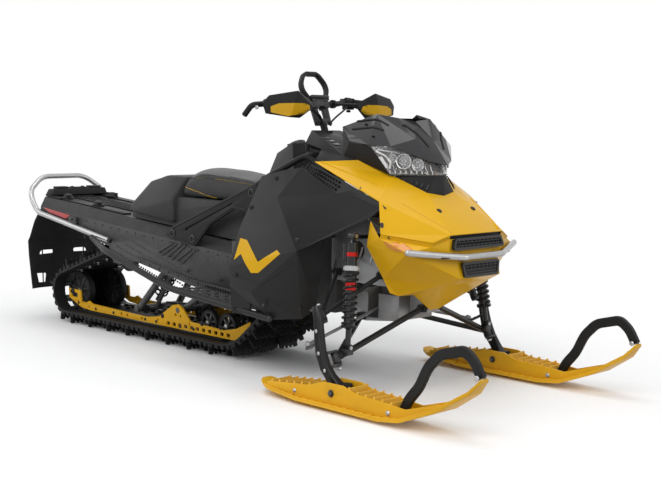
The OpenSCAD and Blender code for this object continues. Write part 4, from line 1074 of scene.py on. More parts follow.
def make_surround():
    """Black mouldings that close the space between hood, screen, console and side panels."""
    rear, inner, mid = (-357, -248, 834), (-206, -170, 845), (-63, -142, 795)
    tip, middle = (46, -76, 735), (62, 0, 726)
    lamp_out, lamp_low, lamp_tip = (-122, -197, 898), (-62, -160, 800), (42, -32, 800)
    screen_low, screen_rear = (-230, -197, 913), (-288, -173, 964)
    cons_front, cons_mid = (-275, -177, 860), (-420, -150, 882)
    faces = [
        (rear, inner, cons_front, cons_mid), (inner, lamp_low, lamp_out, screen_low, cons_front),
        (inner, mid, lamp_low), (mid, tip, lamp_tip, lamp_low), (tip, middle, (46, 0, 800), lamp_tip),
        (cons_front, screen_low, screen_rear), (cons_front, screen_rear, (-330, -120, 890), cons_mid),
    ]
    bm = bmesh.new()
    add_shell(bm, faces, 4)
    from_bm(bm, "screen_surround", "satin", CH, 2.5, 3, mirror=True, limit=8, smooth=50)
    # dark wall between the hood's edge and the side panel, with a honeycomb vent
    top = [(-368, -252, 828), (-200, -256, 775), (-22, -259, 708), (14, -262, 690)]
    low = [(-389, -284, 808), (-345, -272, 796), (-215, -279, 722), (-150, -270, 732), (-8, -262, 664)]
    faces = [(top[0], top[1], low[1], low[0]), (top[1], low[3], low[2], low[1]),
             (top[1], top[2], low[4], low[3]), (top[2], top[3], low[4])]
    bm = bmesh.new()
    add_shell(bm, faces, 3)
    for k in range(13):
        for r in range(3):
            t = (k + 0.5 * (r % 2)) / 13
            a = Vector(top[0]).lerp(Vector(top[1]), t)
            b = Vector(low[0]).lerp(Vector(low[2]), t)
            c = a.lerp(b, 0.22 + 0.26 * r)
            add_lathe(bm, c + Vector((0, -4, 3)), (0, -0.8, 0.6),
                      [(0, 0), (5.2, 0), (5.2, 2.4), (3.6, 2.4), (3.6, 0.6), (0, 0.6)], 6)
    from_bm(bm, "hood_vent", "gloss_black", CH, mirror=True)
    # fins of the band under the lamp
    bm = bmesh.new()
    for k in range(7):
        t = (k + 0.5) / 7
        a = Vector(mid).lerp(Vector(tip), t)
        b = Vector(lamp_low).lerp(Vector(lamp_tip), t)
        add_rod(bm, a.lerp(b, 0.12) + Vector((6, -4, 2)), a.lerp(b, 0.4) + Vector((8, -4, 2)), 2.6)
    from_bm(bm, "lamp_band_fins", "gloss_black", CH, mirror=True)


def add_shell(bm, faces, thick):
    """Thin walls from polygons: shared corners keep one place, and each wall is thickened inwards."""
    made = {}

    def vert(p):
        key = tuple(round(c, 1) for c in p)
        if key not in made:
            made[key] = bm.verts.new(p)
        return made[key]

    start = [bm.faces.new([vert(p) for p in f]) for f in faces]
    bmesh.ops.triangulate(bm, faces=start)
    bmesh.ops.recalc_face_normals(bm, faces=bm.faces)
    outward = sum(((f.calc_center_median() - Vector((-300, 0, 700))).dot(f.normal) for f in bm.faces))
    if outward < 0:
        bmesh.ops.reverse_faces(bm, faces=bm.faces)
    bmesh.ops.solidify(bm, geom=bm.faces[:], thickness=thick)


# ---------- chassis seen through the front ----------
def make_chassis():
    refined("bulkhead", "bulkhead_casting", "alu", 2.5, 2, 20)
    refined("engine", "engine_block", "engine", 12, 3, 20)
    refined("post_bearing", "bearing_block", "alu", 2.5, 2, 20)
    refined("panel_clips", "clip_pins", "metal_black", 0.6, 1, 40)
    bm = bmesh.new()
    for s in SIDES:
        tube = [(-692, s * 227.4, 735), (-640, s * 227.4, 764), (-506, s * 139, 857.2),
                (-150, s * 140, 650)]
        add_sweep(bm, rounded_path(tube, 40), circle(12, 20))
        add_rod(bm, (-506, s * 139, 857.2), (-506, s * 30, 857.2), 9)
    o = from_bm(bm, "frame_hoops", "metal_black", CH)
    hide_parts("frame_tubes")
    bm = bmesh.new()
    for s in SIDES:
        for x, z in ((-285, 425), (-285, 600), (-80, 430), (-90, 596), (-200, 415)):
            add_bolt(bm, (x, s * 194, z), (0, s, 0), 6, 5)
        for k in range(4):
            add_box(bm, (-290 + k * 62, s * 195, 470 + k * 14), (5, 4, 70), Matrix.Rotation(0.3, 3, "Y"))
    from_bm(bm, "casting_bolts", "steel", CH)


def make_arms():
    refined("lower_arms", "lower_wishbones", "metal_black", 1.2, 2, 30)
    refined("upper_arms", "upper_wishbones", "metal_black", 1.2, 2, 30)
    bm = bmesh.new()
    king = Vector((math.sin(KING_LEAN), 0, math.cos(KING_LEAN)))
    for s in SIDES:
        for base in ((-52, s * 430, 165), (-125.5, s * 430, 309.3)):
            for e in SIDES:
                add_lathe(bm, Vector(base) + king * (20 * e), king * e,
                          [(15, -6), (16, -4), (14.5, -2), (15.5, 0), (12.5, 0.6)], 24)
        for p in ((8, s * 44, 312), (-236, s * 107, 260), (-50, s * 206, 440), (-270, s * 206, 432)):
            add_lathe(bm, Vector(p) + Vector((-17, 0, 0)), (1, 0, 0),
                      [(0, 0), (10, 0), (10, 3), (13.4, 3), (13.4, 31), (10, 31), (10, 34), (0, 34)], 24)
    from_bm(bm, "arm_bushings", "rubber", CH)


def make_shocks():
    bm_b, bm_s, bm_r, bm_c = bmesh.new(), bmesh.new(), bmesh.new(), bmesh.new()
    for s in SIDES:
        low, high = Vector((-30, s * 396, 204)), Vector((-62, s * 345, 590))
        d = (high - low).normalized()
        add_lathe(bm_b, low, d, [(0, 0), (10, 0), (10, 62), (13, 64), (19, 70), (19, 250), (22, 252),
                                 (22, 262), (19, 266), (19, 366), (14, 370), (9, 376), (9, 386), (0, 386)],
                                 28)
        # spring wound round the body
        add_spring(bm_s, low, high, 82, 176, 23.5, 4.6, 187, 22)
        for z0 in (72, 262):
            add_lathe(bm_s, low + d * z0, d, [(19, -4), (28, -4), (28.5, 0), (28, 5), (19, 5)], 32)
        # adjuster ring, reservoir and eyes
        add_lathe(bm_c, low + d * 268, d, [(20, 0), (27, 0), (27, 16), (24, 18), (20, 18)], 32)
        m = frame_along(low, high)
        for k in range(14):
            a = 2 * math.pi * k / 14
            add_box(bm_c, low + d * 276 + m @ Vector((27 * math.cos(a), 27 * math.sin(a), 0)), (3, 3, 12),
                    m)
        add_lathe(bm_r, low + d * 200, d, [(19.4, 0), (19.8, 0), (19.8, 26), (19.4, 26)], 28)
        add_lathe(bm_r, low + d * 318, d, [(19.2, 0), (19.8, 0), (19.8, 14), (19.2, 14)], 28)
        for c in (low, high):
            add_lathe(bm_b, c + Vector((-15, 0, 0)), (1, 0, 0), [(6, 0), (12.5, 0), (12.5, 30), (6, 30)],
                      24)
            add_lathe(bm_c, c + Vector((-18, 0, 0)), (1, 0, 0), [(0, 0), (7, 0), (7, 36), (0, 36)], 12)
        add_box(bm_b, (-62, s * 262, 585), (26, 118, 12))
        add_rod(bm_b, low + d * 300 + Vector((-30, 0, 0)), low + d * 360 + Vector((-30, 0, 0)), 13)
    o = from_bm(bm_b, "shock_bodies", "gloss_black", CH)
    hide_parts("front_shocks")
    from_bm(bm_s, "shock_springs", "spring", CH)
    from_bm(bm_r, "shock_bands", "red", CH)
    from_bm(bm_c, "shock_collars", "silver", CH)


# ---------- track and rear suspension ----------
def belt_path(step=12.0):
    """The belt's outer line as closely spaced points, running round the four wraps."""
    wraps = [(*REAR_AXLE, 100), (*UPPER_IDLER, 66), (*DRIVE_AXLE, 82), (-965, 276, 225)]
    pts = []
    n = len(wraps)
    tangents = []
    for i in range(n):
        (x0, z0, r0), (x1, z1, r1) = wraps[i], wraps[(i + 1) % n]
        d = math.hypot(x1 - x0, z1 - z0)
        phi = math.atan2(z1 - z0, x1 - x0)
        a = phi + math.acos((r0 - r1) / d)
        tangents.append(a)
    for i in range(n):
        x, z, r = wraps[i]
        a0, a1 = tangents[i - 1], tangents[i]
        while a1 > a0:
            a1 -= 2 * math.pi
        while a0 - a1 > 2 * math.pi:
            a1 += 2 * math.pi
        k = max(2, int((a0 - a1) * r / step))
        for j in range(k + 1):
            a = a0 + (a1 - a0) * j / k
            pts.append(Vector((x + r * math.cos(a), 0, z + r * math.sin(a))))
    dense = []
    for i, p in enumerate(pts):
        q = pts[(i + 1) % len(pts)]
        m = max(1, int((q - p).length / step))
        dense += [p.lerp(q, j / m) for j in range(m)]
    return dense


def on_path(path, s):
    """Point, direction and outward normal at length s along the closed path."""
    total = 0
    n = len(path)
    for i in range(n):
        a, b = path[i], path[(i + 1) % n]
        l = (b - a).length
        if total + l >= s and l > 0:
            t = (b - a) / l
            return a + t * (s - total), t, Vector((-t.z, 0, t.x))
        total += l
    return path[0], (path[1] - path[0]).normalized(), Vector((0, 0, -1))


LUGS = 47
TRACK_HALF = 190.0


def make_track():
    path = belt_path()
    length = sum((path[(i + 1) % len(path)] - p).length for i, p in enumerate(path))
    inner = [p - on_path_normal(path, i) * 9.5 for i, p in enumerate(path)]
    bm = bmesh.new()
    # belt: three bands with two rows of windows between them
    bands = [(-TRACK_HALF, -128), (-100, 100), (128, TRACK_HALF)]
    for y0, y1 in bands:
        rings = []
        for p, q in zip(path, inner):
            rings.append([bm.verts.new((p.x, y0, p.z)), bm.verts.new((p.x, y1, p.z)),
                          bm.verts.new((q.x, y1, q.z)), bm.verts.new((q.x, y0, q.z))])
        skin(bm, rings, closed=True)
    lugs, clips = bmesh.new(), bmesh.new()
    for k in range(LUGS):
        p, t, nrm = on_path(path, (k + 0.5) * length / LUGS)
        m = Matrix((t, Vector((0, 1, 0)), nrm)).transposed()
        # bar across the windows and the tall lug with its notched top
        for y0, y1 in ((-129, -99), (99, 129)):
            add_box(bm, p + Vector((0, (y0 + y1) / 2, 0)) - nrm * 4.8, (24, y1 - y0, 9.4), m)
        wide = k % 2 == 0
        spans = ((-186, -74), (-50, 50), (74, 186)) if wide else ((-150, -24), (24, 150))
        for y0, y1 in spans:
            outline = [(y0, -1), (y1, -1), (y1 - 2, 20), (y1 - 5, 47), (y1 - 16, 50)]
            steps = 3
            w = (y1 - y0 - 32) / (2 * steps + 1)
            for j in range(2 * steps + 1):
                y = y1 - 16 - j * w
                top = 50 if j % 2 == 0 else 41
                outline += [(y - 1, top), (y - w + 1, top)]
            outline += [(y0 + 16, 50), (y0 + 5, 47), (y0 + 2, 20)]
            add_profile(lugs, p, t, nrm, outline, 3.6)
            for j in range(4):
                y = y0 + 12 + j * (y1 - y0 - 24) / 3
                add_box(lugs, p + Vector((0, y, 0)) + nrm * 14, (15, 4.5, 29), m)
            add_box(lugs, p + Vector((0, (y0 + y1) / 2, 0)) + nrm * 1.5, (20, y1 - y0, 5), m)
        for s in SIDES:
            # small fins along the edge of the belt
            for step in (0.0, 0.5):
                pe, te, ne = on_path(path, (k + 0.25 + step) * length / LUGS)
                edge = s * (TRACK_HALF - 1)
                fin = [(edge, -1), (edge, 11), (edge - s * 8, 17), (edge - s * 16, -1)]
                add_profile(lugs, pe, te, ne, fin if s > 0 else fin[::-1], 7)
        for y in (-114, 114):
            add_box(clips, p + Vector((0, y, 0)) - nrm * 5, (17, 22, 12.6), m)
            add_box(clips, p + Vector((0, y - 9 * (1 if y > 0 else -1), 0)) - nrm * 15, (15, 2.2, 12), m)
        # drive lugs inside the belt
        q, t2, n2 = on_path(path, k * length / LUGS)
        m2 = Matrix((t2, Vector((0, 1, 0)), n2)).transposed()
        for y in (-70, 70):
            add_box(bm, q + Vector((0, y, 0)) - n2 * 13, (20, 12, 8), m2)
    o = from_bm(bm, "track_belt", "track", CH, smooth=25)
    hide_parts("track")
    from_bm(lugs, "track_lugs", "track", CH, 0.9, 1, smooth=25, limit=40)
    from_bm(clips, "track_clips", "steel", CH, smooth=25)


def on_path_normal(path, i):
    a, b = path[i - 1], path[(i + 1) % len(path)]
    t = (b - a).normalized()
    return Vector((-t.z, 0, t.x))


def add_profile(bm, p, t, nrm, outline, half):
    """An extruded outline: (y, height) points standing on the belt, 2 * half thick along the track."""
    sides = []
    for s in SIDES:
        sides.append([
            bm.verts.new(p + Vector((0, y, 0)) + nrm * h + t * (s * half * (1.5 - 0.6 * h / 50)))
            for y, h in outline
        ])
    a, b = sides
    n = len(outline)
    for i in range(n):
        j = (i + 1) % n
        bm.faces.new((a[i], a[j], b[j], b[i]))
    bm.faces.new(list(reversed(a)))
    bm.faces.new(b)


def add_wheel(bm_w, bm_r, x, z, y, r, width, spokes, hub=17):
    """A spoked wheel with a rubber tyre; bm_r takes the tyre."""
    d = (0, 1, 0)
    h = width / 2
    add_lathe(bm_r, (x, y - h, z), d,
              [(r - 9, 0), (r - 2, 0), (r, 3), (r, width - 3), (r - 2, width), (r - 9, width)], 56)
    add_lathe(bm_w, (x, y - h + 2, z), d,
              [(r - 17, 0), (r - 8, 0), (r - 8, width - 4), (r - 17, width - 4)], 56)
    add_lathe(bm_w, (x, y - h - 2, z), d, [(0, 0), (hub, 0), (hub, width + 4), (0, width + 4)], 32)
    for k in range(spokes):
        a = 2 * math.pi * (k + 0.25) / spokes
        c = Vector((x + (r - 12 + hub) / 2 * math.cos(a), y, z + (r - 12 + hub) / 2 * math.sin(a)))
        m = Matrix.Rotation(-a, 3, "Y")
        add_box(bm_w, c, (r - 22 - hub + 14, width * 0.62, 8 if r > 60 else 10), m)


def make_wheels():
    w, t, c = bmesh.new(), bmesh.new(), bmesh.new()
    for s in SIDES:
        x, z = REAR_AXLE
        add_wheel(w, t, x, z, s * 92, 89, 31, 7, 24)
        add_lathe(w, (x, s * 92 - 3, z), (0, 1, 0), [(0, 0), (80, 0), (80, 6), (0, 6)], 48)
        add_lathe(c, (x, s * 108, z), (0, s, 0), [(0, 0), (15, 0), (15, 4), (0, 4)], 6)
    o = from_bm(w, "rear_wheel_rims", "metal_black", CH, 0.8, 1)
    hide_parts("rear_wheels")
    from_bm(t, "rear_wheel_tyres", "rubber", CH)
    w, t = bmesh.new(), bmesh.new()
    for s in SIDES:
        for x in IDLERS_X:
            add_wheel(w, t, x, IDLER_Z, s * 95, IDLER_R, 25, 6, 16)
            add_lathe(c, (x, s * 111, IDLER_Z), (0, s, 0), [(0, 0), (11, 0), (11, 4), (0, 4)], 6)
        x, z = UPPER_IDLER
        add_wheel(w, t, x, z, s * 140, 55, 25, 6, 16)
        add_lathe(c, (x, s * 155, z), (0, s, 0), [(0, 0), (11, 0), (11, 5), (0, 5)], 6)
    o = from_bm(w, "idler_wheel_rims", "metal_black", CH, 0.8, 1)
    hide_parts("idler_wheels")
    from_bm(t, "idler_wheel_tyres", "rubber", CH)
    from_bm(c, "wheel_bolts", "steel", CH, 0.5, 1)
    refined("drive_axle", "drive_shaft", "metal_black", 0.8, 1, 40)
    # drive cogs
    bm = bmesh.new()
    for s in SIDES:
        for k in range(9):
            a = 2 * math.pi * k / 9
            p = Vector((DRIVE_AXLE[0] + 64 * math.cos(a), s * 70, DRIVE_AXLE[1] + 64 * math.sin(a)))
            add_box(bm, p, (11, 52, 9), Matrix.Rotation(-a, 3, "Y"))
    from_bm(bm, "drive_cogs", "metal_black", CH, 1)


def shifted(pts, x, z):
    """An outline moved by (x, z)."""
    return [(x + i, z + j) for i, j in pts]


def make_skid():
    # rails: a plate each side with its rear frame, windows and small holes
    base, back, curve = 61.5, REAR_AXLE[0], -965
    outline = (
        shifted([(-36, 100), (62, 98), (68, 46), (110, 45), (132, 56), (156, 45), (270, 44)], back, base)
        + shifted([(-545, 36), (-455, 50), (-360, 112), (-320, 120), (-290, 104), (-240, 54), (-20, 46),
                   (60, 62), (146, 102), (150, 62), (95, 26), (45, 12)], curve, base)
        + shifted([(150, 12), (72, 18), (-30, 56)], back, base)
    )
    holes = [shifted([(-10, 66), (-6, 62), (34, 62), (38, 66), (38, 80), (34, 84), (-6, 84), (-10, 80)],
                     back, base)]
    window = [(-9, -8), (9, -8), (11, -6), (11, 6), (9, 8), (-9, 8), (-11, 6), (-11, -6)]
    for i in range(11):
        holes.append(shifted(window, curve - 390 + i * 40, base + 28))
    for x, z, r in ((-2068, 110, 5), (-2046, 106, 5), (-1955, 90, 5), (-1700, 88, 7), (-1655, 87, 7),
                    (-1545, 86, 7), (-1430, 95, 6), (-1304, 132, 7), (-1270, 130, 6), (-1210, 104, 5)):
        holes.append(circle(r, 16, x, z))
    bm = bmesh.new()
    for y0, y1 in ((-RAIL_OUT, 8 - RAIL_OUT), (RAIL_OUT - 8, RAIL_OUT)):
        add_plate(bm, outline, holes, y0, y1)
    o = from_bm(bm, "slide_rail_pair", "rail", CH, 1.2, 2)
    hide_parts("slide_rails")
    bm = bmesh.new()
    for s in SIDES:
        for x in (-2040, -1900, -1760, -1520, -1440, -1270, -1180):
            add_bolt(bm, (x, s * RAIL_OUT, 86 if x > -1950 else 100), (0, s, 0), 5.5, 4)
        for x in IDLERS_X:
            add_bolt(bm, (x, s * RAIL_OUT, 117), (0, s, 0), 8, 6)
        add_bolt(bm, (REAR_AXLE[0], s * (RAIL_OUT + 1), REAR_AXLE[1]), (0, s, 0), 11, 8)
    from_bm(bm, "rail_bolts", "metal_black", CH, 0.5, 1)
    # slider shoe under each rail
    bm = bmesh.new()
    for s in SIDES:
        add_box(bm, (-1520, s * 136, 65.5), (1060, 17, 7))
    from_bm(bm, "slider_shoes", "satin", CH, 1)
    refined("skid_arms", "skid_arm_set", "metal_black", 1.4, 2, 30)
    # springs and shocks of the skid
    bm_s, bm_b = bmesh.new(), bmesh.new()
    for low, high, r in (((-1310, 0, 165), (-1120, 0, 310), 24), ((-1620, 0, 150), (-1470, 0, 330), 27)):
        low, high = Vector(low), Vector(high)
        d = (high - low).normalized()
        l = (high - low).length
        add_lathe(bm_b, low, d, [(0, 0), (9, 0), (9, l * 0.3), (17, l * 0.32), (17, l - 12), (9, l - 8),
                                 (9, l), (0, l)], 24)
        add_spring(bm_s, low, high, l * 0.14, l * 0.74, r, 4.2, 140, 20)
    from_bm(bm_b, "skid_shocks", "gloss_black", CH)
    from_bm(bm_s, "skid_springs", "spring", CH)


# ---------- steering ----------
def post(x, y, z):
    """A point given in the steering post's frame."""
    return Vector((-565 + 0.9272 * x - 0.3746 * z, y, 985 + 0.3746 * x + 0.9272 * z))


BAR = [(0, 0, 74), (0, -100, 74), (10, -150, 79), (36, -338, 52), (24, -378, 53), (-26, -380, 32)]


def make_steering():
    refined("steering_post", "steering_column", "metal_black", 1.2, 2, 30)
    bm = bmesh.new()
    add_sweep(bm, rounded_path([post(*p) for p in BAR], 16), circle(11, 20))
    for v in bm.verts:
        if v.co.y > -0.01:
            v.co.y = 0
    o = from_bm(bm, "handlebar_tube", "satin", "steering", mirror=True)
    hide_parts("handlebar")
    # clamp on the riser, cross pad and bolts
    bm = bmesh.new()
    turn = POST_TURN
    for s in SIDES:
        add_box(bm, post(0, s * 30, 62), (40, 26, 22), turn)
        add_box(bm, post(0, s * 30, 86), (40, 26, 20), turn)
        add_lathe(bm, post(0, s * 30, 50) - POST_AXIS * 60, POST_AXIS,
                  [(0, 0), (13, 0), (15, 60), (0, 60)], 24)
    add_box(bm, post(0, 0, 96), (52, 96, 12), turn)
    from_bm(bm, "handlebar_clamp", "metal_black", "steering", 2.5, 3)
    bm = bmesh.new()
    for s in SIDES:
        for x in (-13, 13):
            for y in (22, 38):
                add_bolt(bm, post(x, s * y, 101), POST_AXIS, 4, 4)
    from_bm(bm, "clamp_bolts", "steel", "steering")
    # grips: ribbed rubber sleeves with end flanges
    bm = bmesh.new()
    a, b = post(14.6, -180, 74.2), post(33, -316, 55)
    d = (b - a).normalized()
    l = (b - a).length
    profile = [(11.2, 0), (19, 0), (20, 2), (20, 6), (16, 8)]
    n = 22
    for i in range(n):
        u = 10 + (l - 20) * i / n
        profile += [(16.4, u), (16.4, u + 3.4), (15.2, u + 4.2), (15.2, u + 5.0)]
    profile += [(16.6, l - 6), (18, l - 4), (17, l), (11.2, l)]
    add_lathe(bm, a, d, profile, 36)
    o = from_bm(bm, "grip_sleeves", "grip", "steering", mirror=True)
    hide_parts("grips")
    # lever blocks, levers, switch housings
    bm = bmesh.new()
    c = post(12, -160, 78)
    add_lathe(bm, c - d * 12, d, [(11, 0), (19, 0), (20, 3), (20, 24), (19, 27), (11, 27)], 28)
    add_box(bm, c + Vector((10, 6, -16)), (38, 34, 26))
    add_box(bm, c + Vector((-14, 4, 4)), (24, 30, 22))
    add_lathe(bm, c + Vector((16, 10, -30)), (0, 0, -1), [(0, 0), (9, 0), (9, 10), (0, 10)], 20)
    from_bm(bm, "lever_blocks", "satin", "steering", 3, 3, mirror=True)
    bm = bmesh.new()
    lever = [c + Vector((24, -6, -14)), c + Vector((48, -40, -24)), c + Vector((52, -100, -38)),
             c + Vector((44, -150, -46))]
    add_sweep(bm, rounded_path(lever, 20), [(-3.5, -7), (3.5, -7), (5, 0), (3.5, 7), (-3.5, 7), (-5, 0)])
    from_bm(bm, "levers", "gloss_black", "steering", mirror=True)
    # cables clipped to the riser
    bm = bmesh.new()
    for k, s in enumerate((-1, 1, -1)):
        y0 = s * (148 - k * 8)
        pts = [post(22, y0, 60), post(52, s * 96, 40 - k * 6), post(40 - k * 4, s * 46, 6),
               post(20, s * 22, -10 - k * 3), post(19, s * 19, -26)]
        add_sweep(bm, rounded_path(pts, 36, 8), circle(3.2 + 0.5 * k, 10))
    for s in SIDES:
        add_box(bm, post(19, s * 19, -16), (11, 13, 12), turn)
    from_bm(bm, "cables", "satin", "steering")


def make_guards():
    o = refined("handguards", "guard_covers", "satin", 12, 5, 10, 60)
    d = Vector((-0.72, 0.69, -0.1))
    # yellow insert on the front of each guard
    insert = [(-503, -338, 1038), (-497, -301, 1050), (-485, -177, 1053), (-487, -150, 1046),
              (-486, -146, 1030), (-490, -176, 1014), (-487, -263, 1003), (-503, -336, 1016)]
    drape("guard_inserts", insert, o, "yellow", "steering", d, lift=1.6, thick=3.0)
    bm = bmesh.new()
    for s in SIDES:
        add_bolt(bm, post(40, s * 372, 36), (0.2, s, 0), 6, 4)
    from_bm(bm, "guard_bolts", "steel", "steering")
    # strap: a moulded rubber loop with a ribbed grip at the top
    bm = bmesh.new()
    half = [post(0, -47, 96), post(0, -68, 128), post(0, -66, 158), post(0, -37, 200)]
    path = rounded_path(half + [Vector((q.x, -q.y, q.z)) for q in reversed(half)], 16, 5)
    add_sweep(bm, path, [(-5, -11), (5, -11), (6.5, -8), (6.5, 8), (5, 11), (-5, 11), (-6.5, 8),
                         (-6.5, -8)], up=(0.927, 0, 0.375))
    o = from_bm(bm, "strap_loop", "strap", "steering")
    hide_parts("mountain_strap")
    bm = bmesh.new()
    for k in range(9):
        add_box(bm, post(0, -28 + k * 7, 200), (23.5, 2.6, 14.6), POST_TURN)
    for s in SIDES:
        add_box(bm, post(0, s * 47, 92), (30, 18, 14), POST_TURN)
    from_bm(bm, "strap_ridges", "strap", "steering", 0.8, 1)
    bm = bmesh.new()
    for s in SIDES:
        add_bolt(bm, post(0, s * 47, 99), POST_AXIS, 5, 4)
    from_bm(bm, "strap_bolts", "steel", "steering")


def make_linkage():
    refined("pitman_arm", "pitman_lever", "steel", 1.4, 2, 30)
    for side in ("right", "left"):
        s = -1 if side == "right" else 1
        body = "spindle_" + side
        make_spindle(side, s, body)
        refined("tie_rod_" + side, "tie_bar_" + side, "alu", 0.8, 1, 40)
        # ski: refined body with stiffening ribs and screws
        body = "ski_" + side
        refined("ski_" + side, "ski_blade_" + side, "ski", 3.2, 3, 14, 45)
        bm = bmesh.new()
        y0 = s * STANCE / 2
        ski_extras(bm, y0)
        from_bm(bm, "ski_ribs_" + side, "ski", body, 1.2, 2, smooth=40)
        bm = bmesh.new()
        for e in SIDES:
            add_bolt(bm, (261, y0 + e * 50.5, 40), (0, e, 0), 7, 4)
            add_bolt(bm, (-180, y0 + e * 50.5, 42), (0, e, 0), 6, 4)
        for e in SIDES:
            add_lathe(bm, (596, y0 + e * 17, 206), (0, e, 0),
                      [(0, 0), (9, 0), (9, 3), (5.5, 4.5), (0, 4.5)], 20)
        from_bm(bm, "ski_bolts_" + side, "steel", body, 0.6, 1)
        bm = bmesh.new()
        for e in SIDES:
            add_lathe(bm, (0, y0 + e * 50, BOLT_Z), (0, e, 0),
                      [(0, 0), (14, 0), (14, 2.5), (9.5, 4), (9.5, 9), (0, 9)], 6)
        from_bm(bm, "ski_nuts_" + side, "metal_black", body, 0.6, 1)
        bm = bmesh.new()
        line = [(284, 36), (306, 84), (350, 134), (386, 206), (436, 256), (534, 282), (574, 252),
                (602, 204)]
        path = rounded_path([Vector((x, y0, z)) for x, z in line], 20, 5)
        add_sweep(bm, path, [(-18, -5), (-14, -8), (14, -8), (18, -5), (18, 5), (14, 8), (-14, 8),
                             (-18, 5)], up=(0, 1, 0))
        o = from_bm(bm, "ski_handle_" + side, "strap", body)
        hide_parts("ski_loop_" + side)


def make_spindle(side, s, body):
    """A cast leg that curves from the upper ball joint to the ski, with ears, kingpins and steering arm."""
    turn = Matrix.Rotation(KING_LEAN, 3, "Y")
    king = turn @ Vector((0, 0, 1))
    low = Vector((-52, s * 430, 165))
    bm = bmesh.new()
    line = [(-120, 465, 346, 13, 13), (-106, 466, 300, 12, 17), (-97, 469, 240, 12, 19),
            (-86, 472, 190, 12, 21), (-62, 473, 140, 13, 20), (-34, 470, 106, 14, 19),
            (-8, 464, 82, 18, 17), (10, 458, 70, 22, 15)]
    rings = []
    for k, (x, y, z, wy, wx) in enumerate(line):
        a = line[max(k - 1, 0)]
        b = line[min(k + 1, len(line) - 1)]
        t = Vector((b[0] - a[0], s * (b[1] - a[1]), b[2] - a[2])).normalized()
        side_way = Vector((0, 1, 0))
        side_way = (side_way - t * side_way.dot(t)).normalized()
        front = t.cross(side_way)
        c = Vector((x, s * y, z))
        ring = [bm.verts.new(c + side_way * (wy * p) + front * (wx * q)) for p, q in
                ((-1, -0.7), (-0.7, -1), (0.7, -1), (1, -0.7), (0.62, -0.3), (0.62, 0.3), (1, 0.7),
                 (0.7, 1), (-0.7, 1), (-1, 0.7), (-0.62, 0.3), (-0.62, -0.3))]
        rings.append(ring)
    skin(bm, rings)
    bm.faces.new(list(reversed(rings[0])))
    bm.faces.new(rings[-1])
    for e in (-29, 21, 133, 183):
        add_box(bm, low + king * (e + 4) + Vector((0, s * 17, 0)), (25, 42, 8), turn)
        add_lathe(bm, low + king * e, king, [(0, 0), (14, 0), (14, 8), (0, 8)], 24)
    for e in (0, 162):
        add_lathe(bm, low + king * (e - 30), king, [(0, 0), (7.8, 0), (7.8, 60), (0, 60)], 20)
    arm = turn @ Vector((-85, 0, 68))
    add_box(bm, low + turn @ Vector((-45, s * 32, 72)), (76, 20, 9), turn)
    add_lathe(bm, low + arm + Vector((0, s * 25, 0)), king,
              [(0, 0), (14, 0), (14, 8), (6, 8), (6, 28), (0, 28)], 24)
    o = from_bm(bm, "spindle_casting_" + side, "metal_black", body, 1.2, 2, smooth=45,
                limit=35)
    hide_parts("spindle_" + side)
    bm = bmesh.new()
    for q in (-36, 198):
        add_bolt(bm, low + king * q, king * (1 if q > 0 else -1), 8, 6)
    for x, y, z in ((-100, 484, 262), (-84, 487, 186), (-52, 487, 130)):
        add_bolt(bm, (x, s * (y - 1), z), (0, s, 0), 5, 4)
    # pin through the ski, with rubber bushes
    add_lathe(bm, (0, s * (STANCE / 2) - 56, BOLT_Z), (0, 1, 0), [(0, 0), (7.6, 0), (7.6, 112), (0, 112)],
              20)
    from_bm(bm, "spindle_bolts_" + side, "steel", body)
    bm = bmesh.new()
    add_lathe(bm, (0, s * (STANCE / 2) - 40, BOLT_Z), (0, 1, 0),
              [(9, 0), (24, 0), (27, 8), (27, 72), (24, 80), (9, 80)], 28)
    add_box(bm, (-8, s * STANCE / 2, 74), (70, 66, 26), Matrix.Rotation(-0.12, 3, "Y"))
    from_bm(bm, "ski_rubber_" + side, "rubber", body, 4, 3)


SKI_BASE = [(-381, 46), (-345, 30), (-290, 22), (-160, 14), (0, 11), (232, 11), (325, 22), (461, 76),
            (575, 148), (616, 196)]
SKI_PLAN = [(-381, 20), (-368, 36), (-320, 56), (-150, 75), (300, 75), (450, 62), (560, 42), (616, 18)]


SKI_WALL = [(-322, 54), (-110, 74), (-44, 96), (52, 96), (110, 78), (240, 72), (330, 64), (466, 104)]


def ski_extras(bm, y0):
    """Cross ribs between wall and rim, and a raised rim bead along both edges."""
    x = -300
    while x < 300:
        for e in SIDES:
            half = along(SKI_PLAN, x)
            z = along(SKI_BASE, x)
            add_box(bm, (x, y0 + e * (50 + (half - 52) / 2), z + 8.5), (4.2, half - 53, 14))
        if abs(x + 10) > 62:
            top = along(SKI_WALL, x) + 6
            base = along(SKI_BASE, x) + 6
            add_box(bm, (x, y0, (top + base) / 2), (4.5, 86, top - base))
            for e in SIDES:
                add_box(bm, (x, y0 + e * 44, (top + base) / 2 + 2), (9, 5, top - base))
        x += 38
    for e in SIDES:
        path = []
        x = -340
        while x <= 590:
            path.append(Vector((x, y0 + e * (along(SKI_PLAN, x) - 4.5), along(SKI_BASE, x) + 10.5)))
            x += 15
        add_sweep(bm, path, [(-3, -4), (3, -4), (3, 3), (1.5, 4.5), (-1.5, 4.5), (-3, 3)])
    # ribs across the tip
    x = 350
    while x < 590:
        z = along(SKI_BASE, x)
        half = along(SKI_PLAN, x)
        slope = math.atan2(along(SKI_BASE, x + 5) - z, 5)
        for e in SIDES:
            add_box(bm, (x, y0 + e * (22 + (half - 28) / 2), z + 9), (4.2, half - 26, 12),
                    Matrix.Rotation(-slope, 3, "Y"))
        x += 36


